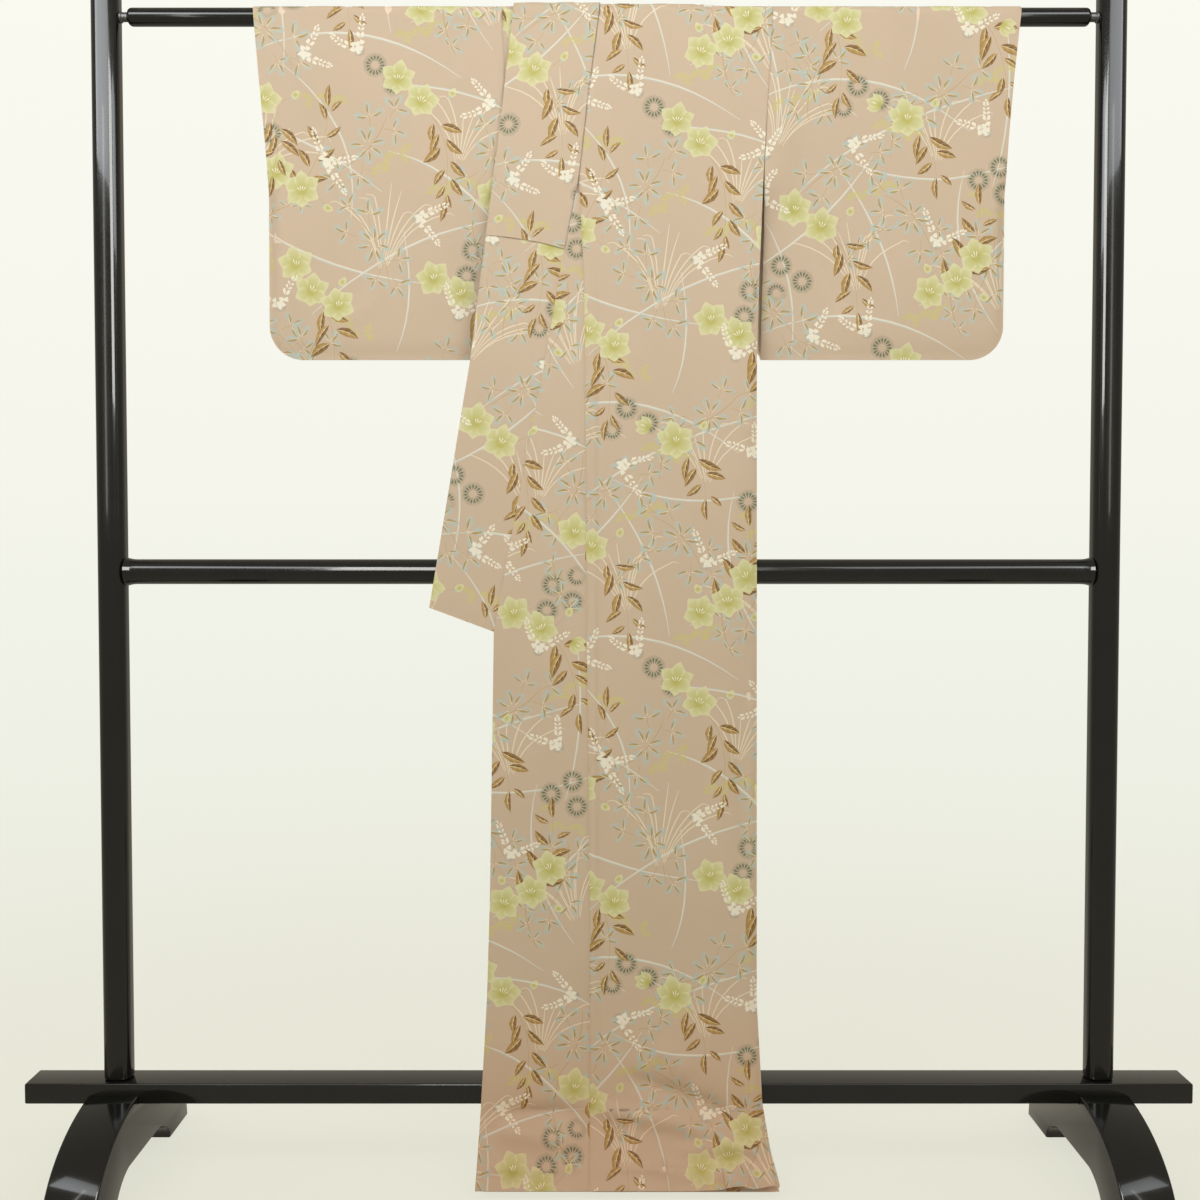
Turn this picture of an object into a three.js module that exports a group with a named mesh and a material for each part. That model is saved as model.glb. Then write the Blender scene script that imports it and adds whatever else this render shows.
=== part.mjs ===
// A silk kimono hung over the rod of its black lacquered stand, left front over right.
//
// Millimetres, +Z up. The origin is on the floor under the middle of the stand. The front
// of the kimono faces -Y, and the wearer's left is +X.
//
// Every cloth piece is a thin wall round a middle surface. Rows of stations follow the
// cloth from its front edge up, over the rod and down behind, and columns run across it.
import * as THREE from "three";

// ---------- the stand ----------
const ROD = { top: 1655, radius: 12.5, halfLength: 673, chamfer: 6 };
const FERRULE = { radius: 6.5, collar: 8, collarLength: 3 };
const POST = { x: 704, width: 39, depth: 35, corner: 13, top: 1722, chamfer: 3 };
const RAIL = { drop: 789, radius: 17.7, flare: 20.5, flareLength: 16 };
const BEAM = { halfLength: 830, depth: 54, top: 139, bottom: 110, corner: 3.5, chamfer: 2.5 };
const FOOT = { width: 71, halfLength: 200, top: 123, archHeight: 36, archFlat: 63, archHalf: 115, edge: 3 };
const JOINT_GAP = 0.3;

// ---------- the cloth ----------
const CLOTH = 1.2;
const SEAM_GAP = 0.3;
const PITCH = CLOTH + SEAM_GAP;
const SLEEVE = { drop: 490, sewn: 229, corner: 47, edge: 14 };
const SIDE_OPENING = { start: 330, sewn: 400, pinch: 10 };
const COLLAR_END = { edge: 852, seam: 873 };
const OVER_COLLAR_END = { edge: 321, seam: 339 };
const COLLAR_BACK = 62;
const HEM = { z: 7.5, kick: 42, curve: 1.8 };

const ROD_Z = ROD.top - ROD.radius;
const RAIL_Z = ROD.top - RAIL.drop;
// A turn over the rod is drawn in flats, which cut inside the true arc by this much.
const TURN_STEP = 22.5;
const TURN_SAG = 0.25;
const INNER_RADIUS = ROD.radius + SEAM_GAP + TURN_SAG + CLOTH / 2;
const RAIL_OUT = RAIL.radius + SEAM_GAP + CLOTH / 2 + 0.2;
const BEAM_OUT = BEAM.depth / 2 + SEAM_GAP + CLOTH / 2 + 0.5;

// The layers are counted from the stand outward, below the rod.
const LAYER = {
  leftBack: 0,
  pleat: 1,
  rightBack: 2,
  rightFront: 3,
  rightCollar: 4,
  leftFront: 5,
  overCollar: 6,
};

// Edges of the pieces: x at each drop below the top of the rod.
const LEFT_SIDE = [
  { drop: 0, x: 228 }, { drop: 130, x: 221 }, { drop: 229, x: 215.5 }, { drop: 370, x: 210 },
  { drop: 495, x: 206.8 }, { drop: 884, x: 207.7 }, { drop: 1393, x: 209 }, { drop: 1535, x: 216 },
  { drop: 1598, x: 225 }, { drop: 1650, x: 235.6 },
];
const LEFT_COLLAR_SEAM = [
  { drop: 0, x: -12.5 }, { drop: 129, x: -30 }, { drop: 241, x: -42.5 }, { drop: 340, x: -63 },
  { drop: 495, x: -89.5 }, { drop: 674, x: -124.5 }, { drop: 873, x: -161.3 },
];
const LEFT_COLLAR_EDGE = [
  { drop: 0, x: -132 }, { drop: 192, x: -154.5 }, { drop: 320, x: -171.5 }, { drop: 495, x: -194 },
  { drop: 674, x: -224 }, { drop: 852, x: -254 },
];
const LEFT_OKUMI_SEAM = [
  { drop: 241, x: -42 }, { drop: 340, x: -36.5 }, { drop: 450, x: -33.5 }, { drop: 884, x: -31 },
  { drop: 1250, x: -27 }, { drop: 1650, x: -27 },
];
const LEFT_FRONT_EDGE = [
  { drop: 873, x: -161.3 }, { drop: 1250, x: -167.5 }, { drop: 1393, x: -172 }, { drop: 1535, x: -179.5 },
  { drop: 1650, x: -185 },
];
const RIGHT_SIDE = [
  { drop: 0, x: -148.6 }, { drop: 122, x: -143.4 }, { drop: 229, x: -143 }, { drop: 495, x: -151 },
  { drop: 884, x: -155 }, { drop: 1535, x: -163 }, { drop: 1650, x: -174 },
];
const RIGHT_COLLAR_SEAM = [
  { drop: 0, x: 89 }, { drop: 241, x: 96 }, { drop: 495, x: 128 }, { drop: 873, x: 196 },
];
const RIGHT_OKUMI_SEAM = [
  { drop: 241, x: 95.5 }, { drop: 495, x: 88 }, { drop: 884, x: 84 }, { drop: 1393, x: 82 },
  { drop: 1650, x: 90 },
];
const RIGHT_FRONT_EDGE = [
  { drop: 873, x: 196 }, { drop: 1393, x: 196 }, { drop: 1535, x: 202 }, { drop: 1650, x: 221 },
];
// The pleat behind: its outer fold, its inner fold, and the centre back seam between them.
const OUTER_FOLD = [{ drop: 0, x: -31 }, { drop: 300, x: -28 }, { drop: 900, x: -25 }, { drop: 1650, x: -26 }];
const INNER_FOLD = [{ drop: 0, x: 108.5 }, { drop: 300, x: 100 }, { drop: 900, x: 94 }, { drop: 1650, x: 98 }];
const CENTRE_SEAM = [{ drop: 0, x: 39 }, { drop: 900, x: 43 }, { drop: 1650, x: 46 }];

const LEFT_SLEEVE = {
  name: "sleeve_left",
  inner: [{ drop: 0, x: 228.3 }, { drop: 130, x: 221.3 }, { drop: 229, x: 216.5 }, { drop: 300, x: 218 },
    { drop: 490, x: 213.5 }],
  outer: [{ drop: 0, x: 574.5 }, { drop: 93, x: 565.6 }, { drop: 175, x: 559.5 }, { drop: 229, x: 556.5 },
    { drop: 490, x: 556.5 }],
  frontLayer: LAYER.leftFront,
  backLayer: LAYER.leftBack,
};
const RIGHT_SLEEVE = {
  name: "sleeve_right",
  inner: [{ drop: 0, x: -148.9 }, { drop: 122, x: -143.7 }, { drop: 229, x: -144 }, { drop: 300, x: -149 },
    { drop: 490, x: -152 }],
  outer: [{ drop: 0, x: -495.9 }, { drop: 93, x: -489 }, { drop: 175, x: -482 }, { drop: 229, x: -478 },
    { drop: 490, x: -478.8 }],
  frontLayer: LAYER.rightFront,
  backLayer: LAYER.rightBack,
};

// Where the left body comes down from lying on the right body to lying on the rod.
const STEP_DOWN = { from: 112, to: 165, fades: 229 };
const NECK_DROP = 26;

const MATERIAL = {
  silk: new THREE.MeshStandardMaterial({ color: 0xc9a690, roughness: 0.7, metalness: 0, side: THREE.DoubleSide }),
  lacquer: new THREE.MeshStandardMaterial({ color: 0x12120f, roughness: 0.2, metalness: 0 }),
  steel: new THREE.MeshStandardMaterial({ color: 0x6f716c, roughness: 0.4, metalness: 0.9 }),
};

const kimonoOnStand = new THREE.Group();

function addMesh(name, geometry, material) {
  const mesh = new THREE.Mesh(geometry, material);
  mesh.name = name;
  kimonoOnStand.add(mesh);
  return mesh;
}

// ---------- helpers ----------
const lerp = THREE.MathUtils.lerp;
const smoothstep = THREE.MathUtils.smoothstep;

/** The x of an edge table at a drop below the top of the rod. */
function edgeAt(table, drop) {
  if (drop <= table[0].drop) return table[0].x;
  for (let i = 1; i < table.length; i += 1) {
    const above = table[i - 1];
    const below = table[i];
    if (drop <= below.drop) return lerp(above.x, below.x, (drop - above.drop) / (below.drop - above.drop));
  }
  return table[table.length - 1].x;
}

/** How far the innermost layer lies from the stand's middle plane, at a height. */
function baseOut(side, z) {
  const atRod = side < 0 ? 3 * PITCH - INNER_RADIUS : 2 * PITCH + INNER_RADIUS;
  if (z > RAIL_Z) return lerp(atRod, -RAIL_OUT, (ROD_Z - z) / (ROD_Z - RAIL_Z));
  if (z > BEAM.bottom) return lerp(-RAIL_OUT, -BEAM_OUT, Math.min(1, (RAIL_Z - z) / (RAIL_Z - BEAM.top)));
  const below = (BEAM.bottom - z) / (BEAM.bottom - HEM.z);
  return -BEAM_OUT - HEM.kick * Math.pow(below, HEM.curve);
}

/** The point of a layer on the front (side -1) or back (side 1), at a height of the base profile. */
function hangPoint(side, x, layer, z) {
  const step = 1;
  const slope = (baseOut(side, z - step) - baseOut(side, z)) / step;
  const length = Math.hypot(1, slope);
  return new THREE.Vector3(x, baseOut(side, z) - (layer * PITCH) / length, z - (layer * PITCH * slope) / length);
}

/** The radius at which a layer passes over the rod. */
function radiusOf(side, layer) {
  return side < 0 ? INNER_RADIUS + (layer - 3) * PITCH : INNER_RADIUS + (2 - layer) * PITCH;
}

function turnPoint(x, radius, degrees) {
  const turn = THREE.MathUtils.degToRad(degrees);
  return new THREE.Vector3(x, radius * Math.sin(turn), ROD_Z + radius * Math.cos(turn));
}

/** Stations along the cloth: drops in front, turns round the rod, drops behind. */
function stationsOf(frontDrops, backDrops) {
  const turns = [];
  for (let degrees = -90; degrees <= 90; degrees += TURN_STEP) turns.push({ turn: degrees });
  return [
    ...frontDrops.slice().reverse().map((drop) => ({ side: -1, drop })),
    ...turns,
    ...backDrops.map((drop) => ({ side: 1, drop })),
  ];
}

/** The drop of a station below the top of the rod. */
function stationDrop(station) {
  if (station.turn === undefined) return station.drop;
  return ROD.radius * (1 - Math.cos(THREE.MathUtils.degToRad(station.turn)));
}

/** A closed wall round a middle surface given as rows of points, without the cells that are skipped. */
function clothWall(rows, skip = () => false) {
  const columns = rows[0].length;
  const used = new Map();
  const points = [];
  const idOf = (i, j) => {
    const key = i * columns + j;
    if (!used.has(key)) {
      used.set(key, points.length);
      points.push(rows[i][j]);
    }
    return used.get(key);
  };
  const cells = [];
  for (let i = 0; i + 1 < rows.length; i += 1) {
    for (let j = 0; j + 1 < columns; j += 1) {
      if (!skip(i, j)) cells.push([idOf(i, j), idOf(i, j + 1), idOf(i + 1, j + 1), idOf(i + 1, j)]);
    }
  }
  const normals = points.map(() => new THREE.Vector3());
  const diagonal = new THREE.Vector3();
  const across = new THREE.Vector3();
  for (const [a, b, c, d] of cells) {
    diagonal.subVectors(points[c], points[a]);
    across.subVectors(points[d], points[b]);
    const normal = new THREE.Vector3().crossVectors(diagonal, across).normalize();
    for (const id of [a, b, c, d]) normals[id].add(normal);
  }
  const half = CLOTH / 2;
  const positions = [];
  for (const sign of [1, -1]) {
    points.forEach((point, id) => {
      const moved = point.clone().addScaledVector(normals[id].normalize(), sign * half);
      positions.push(moved.x, moved.y, moved.z);
    });
  }
  const count = points.length;
  const edges = new Set();
  const indices = [];
  for (const [a, b, c, d] of cells) {
    indices.push(a, b, c, a, c, d);
    indices.push(a + count, c + count, b + count, a + count, d + count, c + count);
    for (const [from, to] of [[a, b], [b, c], [c, d], [d, a]]) {
      if (!edges.delete(`${to},${from}`)) edges.add(`${from},${to}`);
    }
  }
  for (const edge of edges) {
    const [from, to] = edge.split(",").map(Number);
    indices.push(from, from + count, to + count, from, to + count, to);
  }
  const geometry = new THREE.BufferGeometry();
  geometry.setAttribute("position", new THREE.Float32BufferAttribute(positions, 3));
  geometry.setIndex(indices);
  if (signedVolume(geometry) < 0) {
    for (let i = 0; i < indices.length; i += 3) [indices[i + 1], indices[i + 2]] = [indices[i + 2], indices[i + 1]];
    geometry.setIndex(indices);
  }
  geometry.computeVertexNormals();
  return geometry;
}

function signedVolume(geometry) {
  const position = geometry.getAttribute("position");
  const index = geometry.getIndex();
  const [a, b, c] = [new THREE.Vector3(), new THREE.Vector3(), new THREE.Vector3()];
  let volume = 0;
  for (let i = 0; i < index.count; i += 3) {
    a.fromBufferAttribute(position, index.getX(i));
    b.fromBufferAttribute(position, index.getX(i + 1));
    c.fromBufferAttribute(position, index.getX(i + 2));
    volume += a.dot(b.cross(c)) / 6;
  }
  return volume;
}

// Drops at which the long pieces have a row; the last ones follow the kick of the hem.
const BODY_DROPS = [60, 130, 180, 229, 241, 300, 340, 370, 400, 495, 674, 789, 873, 1130, 1393, 1516, 1545,
  1572, 1598, 1622, ROD.top - HEM.z];
const BODY_BACK_DROPS = [NECK_DROP, ...BODY_DROPS.filter((drop) => drop !== 241 && drop !== 340)];
const FIRST_BACK_ROW = BODY_DROPS.length + 180 / TURN_STEP + 1;

// ---------- the body panels ----------

/** The left body: its front, the shoulder over the rod, and its back with half of the pleat. */
function leftBody() {
  const rows = stationsOf(BODY_DROPS, BODY_BACK_DROPS).map((station) => {
    const drop = stationDrop(station);
    const side = edgeAt(LEFT_SIDE, drop);
    const front = station.side === -1;
    const sewn = smoothstep(drop, SIDE_OPENING.start, SIDE_OPENING.sewn);
    const inner = drop < 241 ? edgeAt(LEFT_COLLAR_SEAM, drop) : edgeAt(LEFT_OKUMI_SEAM, drop);
    const layer = front ? LAYER.leftFront : LAYER.leftBack;
    const seamLayer = front ? LAYER.rightFront : LAYER.rightBack;
    const last = front ? inner : edgeAt(LEFT_COLLAR_SEAM, 0);
    const columns = [
      { x: side, layer: lerp(layer, seamLayer, sewn) },
      { x: side - 4, layer: lerp(layer, seamLayer, sewn * 0.6) },
      { x: side - SIDE_OPENING.pinch, layer },
      { x: STEP_DOWN.to, layer },
      { x: STEP_DOWN.from, layer },
      { x: 45, layer },
      { x: last, layer },
      ...foldColumns(edgeAt(OUTER_FOLD, drop), 1, LAYER.leftBack, LAYER.pleat),
      { x: edgeAt(CENTRE_SEAM, drop) - SEAM_GAP / 2, layer: LAYER.pleat },
    ];
    return columns.map((column) => bodyPoint(station, column, LAYER.leftFront, STEP_DOWN));
  });
  const neckColumn = 6;
  return clothWall(rows, (i, j) => j >= neckColumn && i < FIRST_BACK_ROW);
}

/** The right body, which lies inside: its front, the shoulder, and its back with the rest of the pleat. */
function rightBody() {
  const rows = stationsOf(BODY_DROPS, BODY_BACK_DROPS).map((station) => {
    const drop = stationDrop(station);
    const front = station.side === -1;
    const side = edgeAt(RIGHT_SIDE, drop);
    const inner = drop < 241 ? edgeAt(RIGHT_COLLAR_SEAM, drop) : edgeAt(RIGHT_OKUMI_SEAM, drop);
    const layer = front ? LAYER.rightFront : LAYER.rightBack;
    const last = front ? inner : edgeAt(RIGHT_COLLAR_SEAM, 0);
    const columns = [
      { x: side, layer },
      { x: -90, layer },
      { x: -30, layer },
      { x: 30, layer },
      { x: last, layer },
      ...foldColumns(edgeAt(INNER_FOLD, drop), -1, LAYER.rightBack, LAYER.pleat),
      { x: edgeAt(CENTRE_SEAM, drop) + SEAM_GAP / 2, layer: LAYER.pleat },
    ];
    return columns.map((column) => bodyPoint(station, column, LAYER.rightFront));
  });
  const neckColumn = 4;
  return clothWall(rows, (i, j) => j >= neckColumn && i < FIRST_BACK_ROW);
}

/** Columns that turn a back panel round its fold, from one layer to the next. */
function foldColumns(x, direction, fromLayer, toLayer) {
  const radius = PITCH / 2;
  return [0, 45, 90, 135, 180].map((degrees) => {
    const turn = THREE.MathUtils.degToRad(degrees);
    return {
      x: x + direction * radius * (1 - Math.sin(turn)),
      layer: lerp(fromLayer, toLayer, (1 - Math.cos(turn)) / 2),
    };
  });
}

/** A point of a body panel; where stepDown is given, the cloth comes down to the rod beyond it. */
function bodyPoint(station, column, rodLayer, stepDown) {
  const lowered = stepDown ? smoothstep(column.x, stepDown.from, stepDown.to) * (rodLayer - LAYER.rightFront) : 0;
  if (station.turn !== undefined) return turnPoint(column.x, radiusOf(-1, rodLayer - lowered), station.turn);
  const { side, drop } = station;
  return hangPoint(side, column.x, column.layer + side * lowered * nearRod(drop), ROD.top - drop);
}

/** From 1 at the rod to 0 where the step down to the rod has faded out. */
function nearRod(drop) {
  return 1 - smoothstep(drop, ROD.radius, STEP_DOWN.fades);
}

// ---------- the okumi: the overlap panel sewn to each front ----------
const OKUMI_TOP = 260;

function okumi(collarSeam, okumiSeam, frontEdge, layer, direction) {
  const drops = [OKUMI_TOP, ...BODY_DROPS.filter((drop) => drop > OKUMI_TOP)];
  const rows = drops.map((drop) => {
    const outer = drop <= COLLAR_END.seam ? edgeAt(collarSeam, drop) : edgeAt(frontEdge, drop);
    const from = outer + (direction * SEAM_GAP) / 2;
    const to = edgeAt(okumiSeam, drop) - direction * SEAM_GAP;
    return [0, 0.5, 1].map((t) => hangPoint(-1, lerp(from, to, t), layer, ROD.top - drop));
  });
  return clothWall(rows);
}

// ---------- the collars ----------

/** The rows of a collar in front, from its end up: the same drops that the panels beside it have. */
function seamDrops(end) {
  return [end, ...BODY_DROPS.filter((drop) => drop < end).reverse()];
}

/** The left collar, opened to its whole width, from its end up, over the rod and into the pleat. */
function leftCollar(layer, lowest) {
  const rows = seamDrops(lowest.seam).map((seamDrop) => {
    const edgeDrop = (seamDrop * lowest.edge) / lowest.seam;
    const edge = hangPoint(-1, edgeAt(LEFT_COLLAR_EDGE, edgeDrop), layer, ROD.top - edgeDrop);
    const seam = hangPoint(-1, edgeAt(LEFT_COLLAR_SEAM, seamDrop) - SEAM_GAP, layer, ROD.top - seamDrop);
    return [0, 0.5, 1].map((t) => edge.clone().lerp(seam, t));
  });
  const edgeX = edgeAt(LEFT_COLLAR_EDGE, 0);
  const seamX = edgeAt(LEFT_COLLAR_SEAM, 0) - SEAM_GAP;
  const tuckedX = edgeAt(OUTER_FOLD, 0) - 2 * CLOTH;
  for (let degrees = -90; degrees <= 90; degrees += TURN_STEP) {
    const tucked = lerp(seamX, tuckedX, smoothstep(degrees, 0, 90));
    rows.push([0, 0.5, 1].map((t) => turnPoint(lerp(edgeX, tucked, t), radiusOf(-1, layer), degrees)));
  }
  const backLayer = LAYER.leftBack + LAYER.leftFront - layer;
  for (const share of [0.5, 1]) {
    const z = ROD_Z - COLLAR_BACK * share;
    const narrow = 12 * share;
    rows.push([0, 0.5, 1].map((t) => hangPoint(1, lerp(edgeX + narrow, tuckedX, t), backLayer, z)));
  }
  return clothWall(rows);
}

/** The right collar, turned inward and flat between the two fronts. */
function rightCollar() {
  const width = { top: 115, end: 96 };
  const rows = [];
  for (const drop of seamDrops(COLLAR_END.seam)) {
    const seamX = edgeAt(RIGHT_COLLAR_SEAM, drop);
    const edgeX = seamX - lerp(width.top, width.end, drop / COLLAR_END.seam);
    rows.push([0, 0.5, 1].map((t) => hangPoint(-1, lerp(edgeX, seamX, t), LAYER.rightCollar, ROD.top - drop)));
  }
  const seamX = edgeAt(RIGHT_COLLAR_SEAM, 0);
  for (let degrees = -90; degrees < 90; degrees += TURN_STEP) {
    const radius = radiusOf(-1, LAYER.rightCollar);
    rows.push([0, 0.5, 1].map((t) => turnPoint(lerp(seamX - width.top, seamX, t), radius, degrees)));
  }
  return clothWall(rows);
}

// ---------- the sleeves ----------

/** A sleeve: one length folded over the rod, sewn at its foot and at its outer edge below the cuff. */
function sleeve(cut) {
  const drops = [60, 130, 180, 211, 229, 262, 300, 370, 440, 452, 464, 474, 482, 487, SLEEVE.drop];
  const stations = stationsOf(drops, drops);
  const toward = Math.sign(cut.outer[0].x);
  const rows = stations.map((station) => {
    const drop = stationDrop(station);
    const inner = edgeAt(cut.inner, drop);
    const outer = edgeAt(cut.outer, drop) - toward * cornerInset(drop);
    const shares = [0, 0.08, 0.36, 0.68];
    const xs = shares.map((share) => lerp(inner, outer - toward * SLEEVE.edge, share));
    xs.push(outer - toward * SLEEVE.edge, outer - toward * 5, outer);
    return xs.map((x) => sleevePoint(cut, station, x, inner, outer));
  });
  return clothWall(rows);
}

/** How far the rounded lower corner pulls the outer edge in. */
function cornerInset(drop) {
  const over = drop - (SLEEVE.drop - SLEEVE.corner);
  if (over <= 0) return 0;
  return SLEEVE.corner - Math.sqrt(Math.max(0, SLEEVE.corner ** 2 - over ** 2));
}

function sleevePoint(cut, station, x, inner, outer) {
  if (station.turn !== undefined) return turnPoint(x, INNER_RADIUS, station.turn);
  const { side, drop } = station;
  const closed = PITCH / 2;
  const fall = (drop - ROD.radius) / (SLEEVE.drop - ROD.radius);
  const footShare = smoothstep(drop, 464, SLEEVE.drop);
  const free = lerp(lerp(INNER_RADIUS, 3, fall), closed, footShare);
  const edgeShare = 1 - Math.min(1, Math.abs(outer - x) / SLEEVE.edge);
  const sewn = edgeShare * smoothstep(drop, SLEEVE.sewn, 262);
  const own = side * lerp(free, closed, sewn);
  const layer = side < 0 ? cut.frontLayer : cut.backLayer;
  const lowered = Math.abs(layer - (side < 0 ? LAYER.rightFront : LAYER.rightBack));
  const body = hangPoint(side, x, layer + side * lowered * nearRod(drop), ROD.top - drop).y;
  const attached = (1 - smoothstep(Math.abs(x - inner), 0, 60)) * (1 - smoothstep(drop, SLEEVE.sewn, 300));
  return new THREE.Vector3(x, lerp(own, body, attached), ROD.top - drop);
}

// ---------- the stand ----------

/** A rounded rectangle as a shape. */
function roundedRect(width, height, radius) {
  const [x, y] = [width / 2, height / 2];
  const shape = new THREE.Shape();
  shape.moveTo(-x + radius, -y);
  shape.lineTo(x - radius, -y);
  shape.absarc(x - radius, -y + radius, radius, -Math.PI / 2, 0);
  shape.lineTo(x, y - radius);
  shape.absarc(x - radius, y - radius, radius, 0, Math.PI / 2);
  shape.lineTo(-x + radius, y);
  shape.absarc(-x + radius, y - radius, radius, Math.PI / 2, Math.PI);
  shape.lineTo(-x, -y + radius);
  shape.absarc(-x + radius, -y + radius, radius, Math.PI, Math.PI * 1.5);
  return shape;
}

/** A shape extruded along its axis, with both ends chamfered inward. */
function extruded(shape, length, chamfer, curveSegments) {
  return new THREE.ExtrudeGeometry(shape, {
    depth: length - 2 * chamfer,
    bevelEnabled: true,
    bevelThickness: chamfer,
    bevelSize: chamfer,
    bevelOffset: -chamfer,
    bevelSegments: 2,
    curveSegments,
  }).translate(0, 0, chamfer);
}

function addPost(side) {
  const bottom = BEAM.top + JOINT_GAP;
  const geometry = extruded(roundedRect(POST.width, POST.depth, POST.corner), POST.top - bottom, POST.chamfer, 4);
  const post = addMesh(`post_${side < 0 ? "right" : "left"}`, geometry, MATERIAL.lacquer);
  post.position.set(side * POST.x, 0, bottom);
}

/** A turned bar along X from a profile of radius against length, closed on its axis. */
function turnedBar(profile, segments) {
  const points = [
    new THREE.Vector2(0, profile[0].at),
    ...profile.map(({ at, radius }) => new THREE.Vector2(radius, at)),
    new THREE.Vector2(0, profile[profile.length - 1].at),
  ];
  return new THREE.LatheGeometry(points, segments).rotateZ(-Math.PI / 2);
}

function addRod() {
  const { halfLength, chamfer, radius } = ROD;
  const bar = turnedBar([
    { at: -halfLength, radius: radius - chamfer },
    { at: -halfLength + chamfer, radius },
    { at: halfLength - chamfer, radius },
    { at: halfLength, radius: radius - chamfer },
  ], 32);
  addMesh("rod", bar, MATERIAL.lacquer).position.set(0, 0, ROD_Z);
}

function addFerrule(side) {
  const near = ROD.halfLength + JOINT_GAP;
  const far = POST.x - POST.width / 2 - JOINT_GAP;
  const pin = turnedBar([
    { at: near, radius: FERRULE.radius },
    { at: far - FERRULE.collarLength, radius: FERRULE.radius },
    { at: far - FERRULE.collarLength + 1, radius: FERRULE.collar },
    { at: far, radius: FERRULE.collar },
  ], 24);
  if (side < 0) pin.rotateZ(Math.PI);
  addMesh(`rod_pin_${side < 0 ? "right" : "left"}`, pin, MATERIAL.steel).position.set(0, 0, ROD_Z);
}

function addRail() {
  const end = POST.x - POST.width / 2 - JOINT_GAP;
  const rail = turnedBar([
    { at: -end, radius: RAIL.flare },
    { at: -end + RAIL.flareLength * 0.3, radius: RAIL.radius + 1 },
    { at: -end + RAIL.flareLength, radius: RAIL.radius },
    { at: end - RAIL.flareLength, radius: RAIL.radius },
    { at: end - RAIL.flareLength * 0.3, radius: RAIL.radius + 1 },
    { at: end, radius: RAIL.flare },
  ], 36);
  addMesh("middle_rail", rail, MATERIAL.lacquer).position.set(0, 0, RAIL_Z);
}

function addBeam() {
  const height = BEAM.top - BEAM.bottom;
  const beam = extruded(roundedRect(BEAM.depth, height, BEAM.corner), 2 * BEAM.halfLength, BEAM.chamfer, 3);
  beam.translate(0, 0, -BEAM.halfLength);
  beam.rotateX(Math.PI / 2).rotateZ(Math.PI / 2);
  addMesh("base_beam", beam, MATERIAL.lacquer).position.set(0, 0, (BEAM.top + BEAM.bottom) / 2);
}

/** The foot seen from its side: half an ellipse with a flat arch under it and a notch for the beam. */
function footShape() {
  const { halfLength, top, archHeight, archFlat, archHalf } = FOOT;
  const notchHalf = BEAM.depth / 2 + JOINT_GAP;
  const notchFloor = BEAM.bottom - JOINT_GAP;
  const shape = new THREE.Shape();
  const topSteps = 22;
  const archSteps = 7;
  const archPower = 1.6;
  const shoulder = Math.acos(notchHalf / halfLength);
  shape.moveTo(halfLength, 0);
  for (let i = 1; i <= topSteps; i += 1) {
    const angle = (shoulder * i) / topSteps;
    shape.lineTo(halfLength * Math.cos(angle), top * Math.sin(angle));
  }
  shape.lineTo(notchHalf, notchFloor);
  shape.lineTo(-notchHalf, notchFloor);
  for (let i = topSteps; i >= 0; i -= 1) {
    const angle = (shoulder * i) / topSteps;
    shape.lineTo(-halfLength * Math.cos(angle), top * Math.sin(angle));
  }
  const archPoint = (t) => {
    const along = 1 - t;
    return [archFlat + (archHalf - archFlat) * along, archHeight * (1 - along ** archPower) ** (1 / archPower)];
  };
  for (let i = 0; i <= archSteps; i += 1) {
    const [y, z] = archPoint(i / archSteps);
    shape.lineTo(-y, z);
  }
  for (let i = archSteps; i >= 0; i -= 1) {
    const [y, z] = archPoint(i / archSteps);
    shape.lineTo(y, z);
  }
  return shape;
}

function addFoot(side) {
  const foot = extruded(footShape(), FOOT.width, FOOT.edge, 1);
  foot.translate(0, 0, -FOOT.width / 2).rotateX(Math.PI / 2).rotateZ(Math.PI / 2);
  addMesh(`foot_${side < 0 ? "right" : "left"}`, foot, MATERIAL.lacquer).position.set(side * POST.x, 0, 0);
}

// ---------- the whole ----------
for (const side of [1, -1]) {
  addPost(side);
  addFerrule(side);
  addFoot(side);
}
addRod();
addRail();
addBeam();

addMesh("body_left", leftBody(), MATERIAL.silk);
addMesh("body_right", rightBody(), MATERIAL.silk);
addMesh("okumi_left", okumi(LEFT_COLLAR_SEAM, LEFT_OKUMI_SEAM, LEFT_FRONT_EDGE, LAYER.leftFront, 1), MATERIAL.silk);
addMesh("okumi_right", okumi(RIGHT_COLLAR_SEAM, RIGHT_OKUMI_SEAM, RIGHT_FRONT_EDGE, LAYER.rightFront, -1),
  MATERIAL.silk);
addMesh("collar_left", leftCollar(LAYER.leftFront, COLLAR_END), MATERIAL.silk);
addMesh("over_collar", leftCollar(LAYER.overCollar, OVER_COLLAR_END), MATERIAL.silk);
addMesh("collar_right", rightCollar(), MATERIAL.silk);
addMesh(LEFT_SLEEVE.name, sleeve(LEFT_SLEEVE), MATERIAL.silk);
addMesh(RIGHT_SLEEVE.name, sleeve(RIGHT_SLEEVE), MATERIAL.silk);

export default kimonoOnStand;
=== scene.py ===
# A silk kimono, printed with autumn grasses, over the rod of its black lacquered stand.
#
# The cloth is worked out in millimetres and written to Blender in metres. Each piece has a flat
# cut: x runs across it, and s along it, from the front hem (below 0) over the rod (0) to the back.
import math
import random

import bpy
import numpy as np
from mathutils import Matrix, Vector
from mathutils.geometry import delaunay_2d_cdt


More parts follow.
